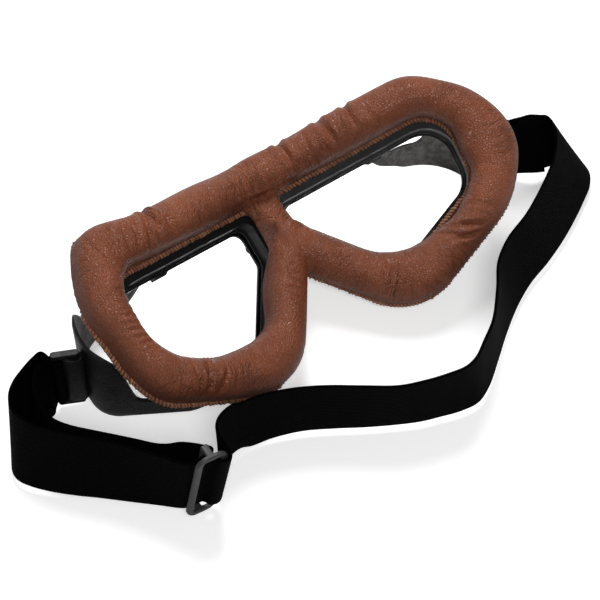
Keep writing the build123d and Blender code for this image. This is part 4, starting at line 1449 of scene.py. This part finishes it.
def make_stage():
    scene = bpy.context.scene
    scene.view_settings.view_transform = "Standard"
    corners = [(x * FLOOR_HALF, y * FLOOR_HALF, 0) for x, y in ((-1, -1), (1, -1), (1, 1), (-1, 1))]
    floor = mesh_object("floor", corners, [(0, 1, 2, 3)], smooth=False)
    floor.data.materials.append(floor_material())
    scene.world = bpy.data.worlds.new("studio")
    scene.world.use_nodes = True
    nodes = Nodes(scene.world.node_tree)
    rays = nodes.add("ShaderNodeLightPath").outputs
    white = nodes.add("ShaderNodeMapRange", {"Value": rays["Is Camera Ray"],
                                             "To Min": ROOM_LIGHT, "To Max": 1.0})
    back = nodes.tree.nodes["Background"]
    nodes.feed(back.inputs["Color"], (1, 1, 1))
    nodes.feed(back.inputs["Strength"], white)
    for lamp in LAMPS:
        area_light(*lamp)
    camera_data = bpy.data.cameras.new("camera")
    camera_data.sensor_width = CAMERA_SENSOR
    camera_data.lens = CAMERA_LENS
    camera_data.clip_start = 0.01
    camera = linked("camera", camera_data)
    camera.location = CAMERA_PLACE
    camera.rotation_euler = Euler([math.radians(a) for a in CAMERA_TURN], "XYZ")
    scene.camera = camera


class GOGGLES_OT_stage(bpy.types.Operator):
    """Floor, soft light and the camera"""

    bl_idname = "goggles.stage"
    bl_label = "Stage"

    def execute(self, context):
        make_stage()
        return {"FINISHED"}


class GOGGLES_OT_padding(bpy.types.Operator):
    """The padded brown leather roll round both eyes and the nose bridge"""

    bl_idname = "goggles.padding"
    bl_label = "Padding roll"

    def execute(self, context):
        make_padding()
        return {"FINISHED"}


class GOGGLES_OT_base_leather(bpy.types.Operator):
    """The flat brown leather under the roll"""

    bl_idname = "goggles.base_leather"
    bl_label = "Base leather"

    def execute(self, context):
        make_base_leather()
        return {"FINISHED"}


class GOGGLES_OT_seam_stitches(bpy.types.Operator):
    """The thread wrapped over the base leather's edges"""

    bl_idname = "goggles.seam_stitches"
    bl_label = "Overlocked edges"

    def execute(self, context):
        make_seam_stitches()
        return {"FINISHED"}


class GOGGLES_OT_wings(bpy.types.Operator):
    """The black leather bands at the temples"""

    bl_idname = "goggles.wings"
    bl_label = "Temple wings"

    def execute(self, context):
        make_wings()
        return {"FINISHED"}


class GOGGLES_OT_bridge(bpy.types.Operator):
    """The black leather tab in front of the nose bridge"""

    bl_idname = "goggles.bridge"
    bl_label = "Bridge leather"

    def execute(self, context):
        make_bridge_leather()
        return {"FINISHED"}


class GOGGLES_OT_strap(bpy.types.Operator):
    """The black elastic strap, its folds and its sewn tail"""

    bl_idname = "goggles.strap"
    bl_label = "Strap"

    def execute(self, context):
        make_strap()
        return {"FINISHED"}


class GOGGLES_OT_slider(bpy.types.Operator):
    """The dark plastic slider on the strap"""

    bl_idname = "goggles.slider"
    bl_label = "Slider"

    def execute(self, context):
        make_slider()
        return {"FINISHED"}


class GOGGLES_OT_hardware(bpy.types.Operator):
    """Finishes of the rims, lenses, loops and rivets"""

    bl_idname = "goggles.hardware"
    bl_label = "Rims and hardware"

    def execute(self, context):
        finish_hardware()
        return {"FINISHED"}


OPERATORS = (GOGGLES_OT_stage, GOGGLES_OT_padding, GOGGLES_OT_base_leather,
             GOGGLES_OT_seam_stitches, GOGGLES_OT_wings, GOGGLES_OT_bridge, GOGGLES_OT_strap,
             GOGGLES_OT_slider, GOGGLES_OT_hardware)


class GOGGLES_PT_panel(bpy.types.Panel):
    """Lists the goggles' settings and steps in the sidebar"""

    bl_label = "Goggles"
    bl_idname = "GOGGLES_PT_panel"
    bl_space_type = "VIEW_3D"
    bl_region_type = "UI"
    bl_category = "Goggles"

    def draw(self, context):
        scene = context.scene
        for group in (scene.goggles_sizes, scene.goggles_colours):
            for name in type(group).__annotations__:
                self.layout.prop(group, name)
        for operator in OPERATORS:
            self.layout.operator(operator.bl_idname)


CLASSES = (GogglesSizes, GogglesColours, *OPERATORS, GOGGLES_PT_panel)


def register():
    for made in CLASSES:
        bpy.utils.register_class(made)
    bpy.types.Scene.goggles_sizes = PointerProperty(type=GogglesSizes)
    bpy.types.Scene.goggles_colours = PointerProperty(type=GogglesColours)


def unregister():
    del bpy.types.Scene.goggles_sizes
    del bpy.types.Scene.goggles_colours
    for made in reversed(CLASSES):
        bpy.utils.unregister_class(made)


def main():
    register()
    for operator in OPERATORS:
        word = operator.bl_idname.split(".")[1]
        getattr(bpy.ops.goggles, word)()


if __name__ == "__main__":
    main()
